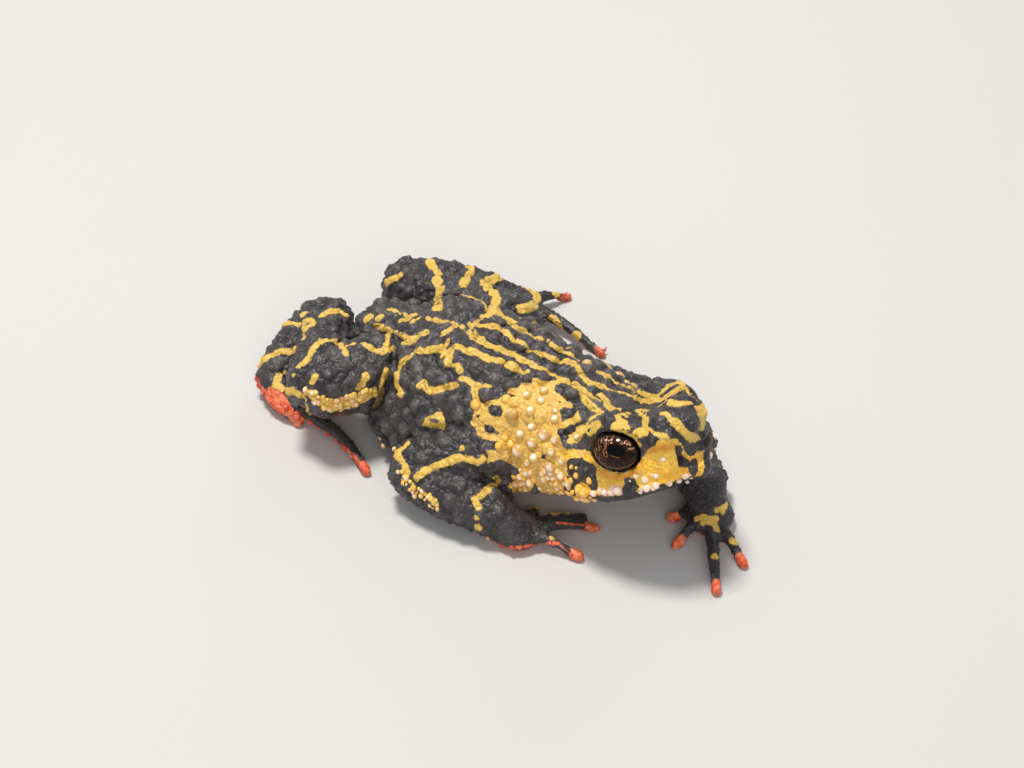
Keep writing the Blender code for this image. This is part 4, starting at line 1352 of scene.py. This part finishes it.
def wart_heights(mesh, places, names, patches):
    """Height of the warts in three sizes, the smaller ones on top of the larger."""
    settings = sizes()
    rng = np.random.default_rng(settings.seed)
    normals = normals_of(mesh)
    trunk = np.isin(names, TRUNK)
    head = names == "head"
    digits = on_paws(names)
    arms = np.char.startswith(names, "forearm") | np.char.startswith(names, "upper")
    limb = ~trunk & ~digits
    off_eye = gap_to(places, [eye_shape(node)[0] for node in EYES])
    upper = normals[:, 2] > -0.3
    bare = off_eye > 2.45
    black = bare & (patches > 0.15)
    tips = [(x, y, KNOB_RADIUS) for ends in DIGIT_TIPS.values() for x, y in ends]
    off_tip = gap_to(places, tips)
    paws = digits & (normals[:, 2] > -0.2) & (off_tip > 1.1)
    layers = (
        ((trunk & ~head & upper & black, 1.35, (0.62, 0.95), (0.8, 1.25)),
         (limb & upper, 1.25, (0.5, 0.8), (0.55, 0.9)),
         (head & upper & black, 1.3, (0.5, 0.8), (0.2, 0.45))),
        ((trunk & ~head & black, 0.72, (0.3, 0.46), (0.32, 0.52)),
         (limb, 0.66, (0.27, 0.42), (0.3, 0.46)),
         (head & black, 0.7, (0.25, 0.38), (0.1, 0.25)),
         (patches <= 0.15, 0.7, (0.22, 0.38), (0.12, 0.28)),
         (paws, 0.55, (0.2, 0.3), (0.12, 0.25))),
        ((limb & ~arms, 0.38, (0.16, 0.22), (0.13, 0.22)),
         (arms, 0.34, (0.15, 0.21), (0.18, 0.28)),
         (trunk & black, 0.42, (0.16, 0.24), (0.1, 0.2)),
         (bare & (patches <= 0.15), 0.33, (0.13, 0.19), (0.1, 0.24)),
         (paws, 0.3, (0.12, 0.17), (0.1, 0.18))),
    )
    tree = kd_tree(places)
    tall = settings.wart_height / MM
    total = np.zeros(len(places))
    for layer in layers:
        lift = np.zeros(len(places))
        for allowed, spacing, radii, shares in layer:
            picked = spread(places, allowed, spacing, rng)
            widths = rng.uniform(*radii, len(picked))
            heights = rng.uniform(*shares, len(picked)) * tall
            raise_warts(tree, places, lift, places[picked], widths, heights)
        total += lift
    return total


def markings(mesh, places, names, bones):
    """Distances to the edges of the markings and of the painted shade at the mouth, nostrils and brow, below zero
    inside, which the material turns into colour.
    """
    normals = normals_of(mesh)
    skin = SkinMap(mesh, bones)
    trunk = np.isin(names, TRUNK)
    tree = kd_tree(places)
    lines = BACK_STRIPES + HEAD_STRIPES + ARM_STRIPES + LEG_STRIPES + FAR_HAND_SPOTS
    strokes = [skin.stroke(line) for line in lines]
    strokes += other_side(skin, strokes, tree, names)
    marks = {}
    yellow = stroke_distance(places, strokes)[0]
    marks["core"] = stroke_distance(places, strokes[:len(BACK_STRIPES)])[1]
    spots = patch_distance(places, normals, HEAD_PATCHES + (FLANK_SPOT,), trunk)
    ragged = (soft_noise(places, 0.8, 3) - 0.5) * 0.13 + (soft_noise(places, 0.35, 4) - 0.5) * 0.12
    marks["yellow"] = np.minimum(yellow, spots) + ragged - STRIPE_WIDENING
    bands = patch_distance(places, normals, THIGH_BAND, np.char.startswith(names, "thigh"))
    marks["cheek"] = patch_distance(places, normals, (CHEEK,), trunk)
    gland = patch_distance(places, normals, (GLAND,), trunk | (names == "upper_arm_R"))
    gold = np.minimum(np.minimum(marks["cheek"], gland), bands)
    marks["gold"] = np.maximum(gold, -lip_gap(places) - 0.1 + 2.0 * (places[:, 0] < 15)) + ragged
    dark = patch_distance(places, normals, DARK_PATCHES + GLAND_GAPS, trunk)
    dots = [skin.stroke(line) for line in FLANK_CENTRE]
    marks["dark"] = np.minimum(dark, stroke_distance(places, dots)[0]) + ragged * 0.6
    lips = patch_distance(places, normals, LIP_OUTLINES, names == "head")
    above = lip_gap(places)
    marks["pale"] = np.maximum(lips, np.maximum(-above - 0.05, above - 1.2)) + ragged * 0.6
    # Painted shade under the brow ridge and under the eye, on both sides
    marks["orange_shade"] = stroke_distance(places, skin.on_both_sides(ORANGE_SHADE_STROKES))[0]
    # Painted shade along the mouth's crease on the front of the head, and in the nostrils
    front = (names == "head") & (np.hypot(normals[:, 0], normals[:, 1]) > 0.35)
    shut = np.where(front, np.abs(above) - 0.03, 1.0)
    marks["mouth"] = np.minimum(shut, stroke_distance(places, skin.on_both_sides(MOUTH_LINE))[0])
    marks["red"] = red_distance(skin, places, normals, names, bones) + ragged * 0.5
    rims = [(0.18, lid_path(node, 1.0)) for node in EYES]
    rims = [(width, path + path[:1]) for width, path in rims]
    marks["rim"] = stroke_distance(places, rims)[0]
    low = (places[:, 2] < 5) & (names != "head") & ~np.char.startswith(names, "forearm")
    marks["under"] = np.where(low, normals[:, 2], 1.0)
    return marks


def red_distance(skin, places, normals, names, bones):
    """Distance to the red of palms, soles and digit tips, below zero inside."""
    strokes = [skin.stroke(line) for line in RED_EDGES]
    for side in SIDES:
        for name in (f"hand_{side}", f"foot_{side}"):
            for tip, inward in digit_ends(name, bones):
                if (round(tip.x, 1), round(tip.y, 1)) not in DARK_TIPS:
                    strokes.append((RED_TIP_RADIUS, [tip - inward * 0.2, tip + inward * 0.3]))
    distance = stroke_distance(places, strokes)[0]
    paws = on_paws(names)
    under = np.where(paws, (normals[:, 2] + 0.45) * 0.8, 1.0)
    under = np.where(paws, np.maximum(under, (places[:, 2] - 0.7) * 0.8), under)
    return np.minimum(distance, under)


def other_side(skin, strokes, tree, names):
    """Stripes of the right side carried over to the left side, which the photograph doesn't show."""
    added = []
    for stroke in strokes:
        middle = sum(stroke[1], Vector()) / len(stroke[1])
        owner = names[tree.find(middle)[1]]
        if owner in TRUNK and middle.y < -3.2:
            added.append(skin.mirrored(stroke))
        elif owner in ("upper_arm_R", "forearm_R", "thigh_R"):
            added.append(skin.carried(stroke, owner, owner[:-1] + "L"))
    return [run for run in map(skin.hidden_run, added) if run]


class TOAD_OT_eyes(Operator):
    """Make both eyes as wet dark balls, each with a pupil and coppery flecks"""

    bl_idname = "toad.eyes"
    bl_label = "Eyes"

    def execute(self, context):
        material = eye_material()
        for node, name in zip(EYES, ("left_eye", "right_eye")):
            centre, axes, radii = eye_shape(node)
            bm = bmesh.new()
            bmesh.ops.create_uvsphere(bm, u_segments=96, v_segments=64, radius=MM)
            ball = object_from(bm, name)
            mesh = ball.data
            places = (points_of(mesh) * radii) @ axes
            gaze, across, rise = eye_view(node, PUPIL_GAZE)
            front = places @ gaze > 0
            put_values(mesh, "eye_u", np.where(front, places @ across, 2.0))
            put_values(mesh, "eye_v", np.where(front, places @ rise, 2.0))
            gaze, across, rise = eye_view(node, EYE_GAZE)
            wide = np.hypot(places @ across / LID_OPENING[0], places @ rise / LID_OPENING[1])
            put_values(mesh, "eye_edge", np.where(front, wide, 2.0))
            put_points(mesh, places + centre)
            mesh.materials.append(material)
            mesh.shade_smooth()
            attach(ball, "root")
            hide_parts(node)
        return {"FINISHED"}


def dome_mesh(name, spots, rise, sink, material):
    """Domes joined as one mesh: each a place, a normal, a radius in mm and, if long, its long way."""
    bm = bmesh.new()
    # Each vertex's height in its dome, which the bead materials paint as a highlight on top
    height = bm.verts.layers.float.new("rise")
    for place, normal, radius, *long_way in spots:
        turn = Vector(normal).to_track_quat("Z", "X").to_matrix().to_4x4()
        longer = 0.0
        if long_way:
            along = (long_way[0] - normal * normal.dot(long_way[0])).normalized()
            turn = Matrix((along, normal.cross(along), normal)).transposed().to_4x4()
            longer = long_way[0].length / 2
        made = bmesh.ops.create_icosphere(bm, subdivisions=3, radius=1.0)["verts"]
        for vert in made:
            vert[height] = max(vert.co.z, 0)
        tall = radius * rise
        matrix = Matrix.Scale(MM, 4) @ Matrix.Translation(Vector(place) - Vector(normal) * tall * sink)
        matrix = matrix @ turn @ Matrix.Diagonal((radius + longer, radius, tall, 1))
        bmesh.ops.transform(bm, matrix=matrix, verts=made)
    item = object_from(bm, name)
    item.data.materials.append(material)
    item.data.shade_smooth()
    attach(item, "root")
    return item


class TOAD_OT_pearls(Operator):
    """Set pearls on the gland, granules on cheek, lip and limbs, and red beads on palms and soles"""

    bl_idname = "toad.pearls"
    bl_label = "Pearls and beads"

    def execute(self, context):
        skin = bpy.data.objects["skin"]
        finder = SkinMap(skin.data, find_bones())
        rng = random.Random(sizes().seed)
        c = colours()
        back = view_axes()[2]

        def spots(listed, both):
            found = []
            for x, y, radius in listed:
                place, normal = finder.at_pixel(x, y)
                found.append((place, normal, radius))
                if not both or place.y > -1 or place.x < 2:
                    continue
                other, normal, _, _ = finder.tree.find_nearest(Vector((place.x, -place.y, place.z)))
                if normal.dot(back) < 0.1:
                    found.append((other, normal, radius))
            return found

        def strewn(outlines, gap, radii):
            """Places at random inside outlines, no two nearer than a gap in pixels."""
            listed = []
            for outline in outlines:
                xs, ys = zip(*outline)
                for _ in range(900):
                    x, y = rng.uniform(min(xs), max(xs)), rng.uniform(min(ys), max(ys))
                    inside = outline_distance(np.array([[x, y]]), outline)[0] < 0
                    if inside and all(math.hypot(x - a, y - b) > gap for a, b, _ in listed):
                        listed.append((x, y, rng.uniform(*radii)))
            return listed

        # Each bead colour runs from a painted highlight on top to a darker foot of painted shade
        pearl = bead_material("pearl", c.pearl, (0.60, 0.36, 0.10), 0.28, 0.5)
        gold = bead_material("gold_granule", (0.90, 0.56, 0.14), (0.72, 0.38, 0.05), 0.38, 0.25)
        pale = bead_material("pale_granule", (0.90, 0.72, 0.62), (0.78, 0.42, 0.14), 0.35, 0.3)
        lip = bead_material("lip_granule", (0.92, 0.78, 0.70), (0.88, 0.60, 0.44), 0.35, 0.3)
        band = bead_material("band_granule", (0.86, 0.66, 0.22), (0.66, 0.40, 0.05), 0.35, 0.3)
        dark = bead_material("dark_granule", (0.07, 0.058, 0.055), (0.02, 0.018, 0.02), 0.5, 0.0)
        red = bead_material("red_bead", (0.78, 0.20, 0.10), (0.50, 0.04, 0.015), 0.28, 0.45)
        jaw = strewn(JAW_CORNERS, 4.3, (0.2, 0.32))
        jaw = [spot for spot in jaw if finder.at_pixel(*spot[:2])[0].z > 3]
        near, far = (finder.at_pixel(*pixel)[0] for pixel in LONG_PEARL[:2])
        middle, normal, _, _ = finder.tree.find_nearest((near + far) / 2)
        long_pearl = (middle, normal, LONG_PEARL[2], far - near)
        dome_mesh("gland_pearls", [long_pearl] + spots(GLAND_PEARLS, True), 0.85, 0.15, pearl)
        dome_mesh("gold_granules", spots(GOLD_GRANULES + tuple(jaw[::2]), True), 0.75, 0.25, gold)
        dome_mesh("dark_granules", spots(DARK_GRANULES, True), 0.6, 0.3, dark)
        bands = strewn(THIGH_BAND + ELBOW_BAND, 3.4, (0.11, 0.31))
        dome_mesh("lip_granules", spots(LIP_GRANULES, True), 0.7, 0.25, lip)
        pale_spots = spots(PALE_GRANULES + tuple(jaw[1::2]), True) + spots(bands[::4], False)
        dome_mesh("pale_granules", pale_spots, 0.8, 0.2, pale)
        band_spots = spots(bands[1::4] + bands[2::4] + bands[3::4], False)
        dome_mesh("band_granules", band_spots, 0.7, 0.25, band)
        dome_mesh("red_beads", spots(RED_BEADS, False), 0.9, 0.3, red)
        return {"FINISHED"}


# Lamps: name, place in metres, width in metres, power in watts and tint
LAMPS = (
    ("key", (-0.09, -0.01, 0.385), 0.09, 1.6, (1.0, 0.97, 0.92)),
    ("fill", (0.32, -0.28, 0.22), 0.30, 0.74, (1.0, 0.99, 0.98)),
    ("back", (-0.10, 0.34, 0.16), 0.20, 0.2, (1.0, 1.0, 1.0)),
)
LAMP_TARGET = Vector((0.004, 0, 0.005))
SKY_COLOUR = (0.86, 0.89, 0.93, 1)
SKY_POWER = 0.5


class TOAD_OT_stage(Operator):
    """Set a plain pale floor and soft studio light"""

    bl_idname = "toad.stage"
    bl_label = "Stage"

    def execute(self, context):
        size = sizes().floor_size
        bm = bmesh.new()
        bmesh.ops.create_grid(bm, x_segments=8, y_segments=8, size=size / 2)
        floor = object_from(bm, "floor")
        floor.data.materials.append(floor_material())
        for name, place, width, power, tint in LAMPS:
            lamp = bpy.data.lights.new(name, "AREA")
            lamp.shape = "DISK"
            lamp.size = width
            lamp.energy = power
            lamp.color = tint
            item = link(bpy.data.objects.new(name, lamp))
            # Only the key lamp shows as a glint
            item.visible_glossy = name == "key"
            item.location = place
            item.rotation_euler = (LAMP_TARGET - Vector(place)).to_track_quat("-Z", "Y").to_euler()
        world = bpy.data.worlds.new("studio")
        world.use_nodes = True
        sky = world.node_tree.nodes["Background"]
        sky.inputs["Color"].default_value = SKY_COLOUR
        sky.inputs["Strength"].default_value = SKY_POWER
        context.scene.world = world
        context.scene.view_settings.view_transform = "Standard"
        return {"FINISHED"}


PIECES = (TOAD_OT_camera, TOAD_OT_skin, TOAD_OT_eyes, TOAD_OT_pearls, TOAD_OT_stage)


class TOAD_PT_panel(Panel):
    """Lists the steps that dress the toad, and its settings"""

    bl_idname = "TOAD_PT_panel"
    bl_label = "Redbelly Toad"
    bl_space_type = "VIEW_3D"
    bl_region_type = "UI"
    bl_category = "Toad"

    def draw(self, context):
        for piece in PIECES:
            self.layout.operator(piece.bl_idname)
        for group in (context.scene.toad_sizes, context.scene.toad_colours):
            for name in group.__annotations__:
                self.layout.prop(group, name)


CLASSES = (ToadSizes, ToadColours) + PIECES + (TOAD_PT_panel,)


def register():
    for item in CLASSES:
        register_class(item)
    bpy.types.Scene.toad_sizes = PointerProperty(type=ToadSizes)
    bpy.types.Scene.toad_colours = PointerProperty(type=ToadColours)


def unregister():
    del bpy.types.Scene.toad_colours
    del bpy.types.Scene.toad_sizes
    for item in reversed(CLASSES):
        unregister_class(item)


def main():
    register()
    bpy.ops.toad.camera()
    bpy.ops.toad.skin()
    bpy.ops.toad.eyes()
    bpy.ops.toad.pearls()
    bpy.ops.toad.stage()


if __name__ == "__main__":
    main()
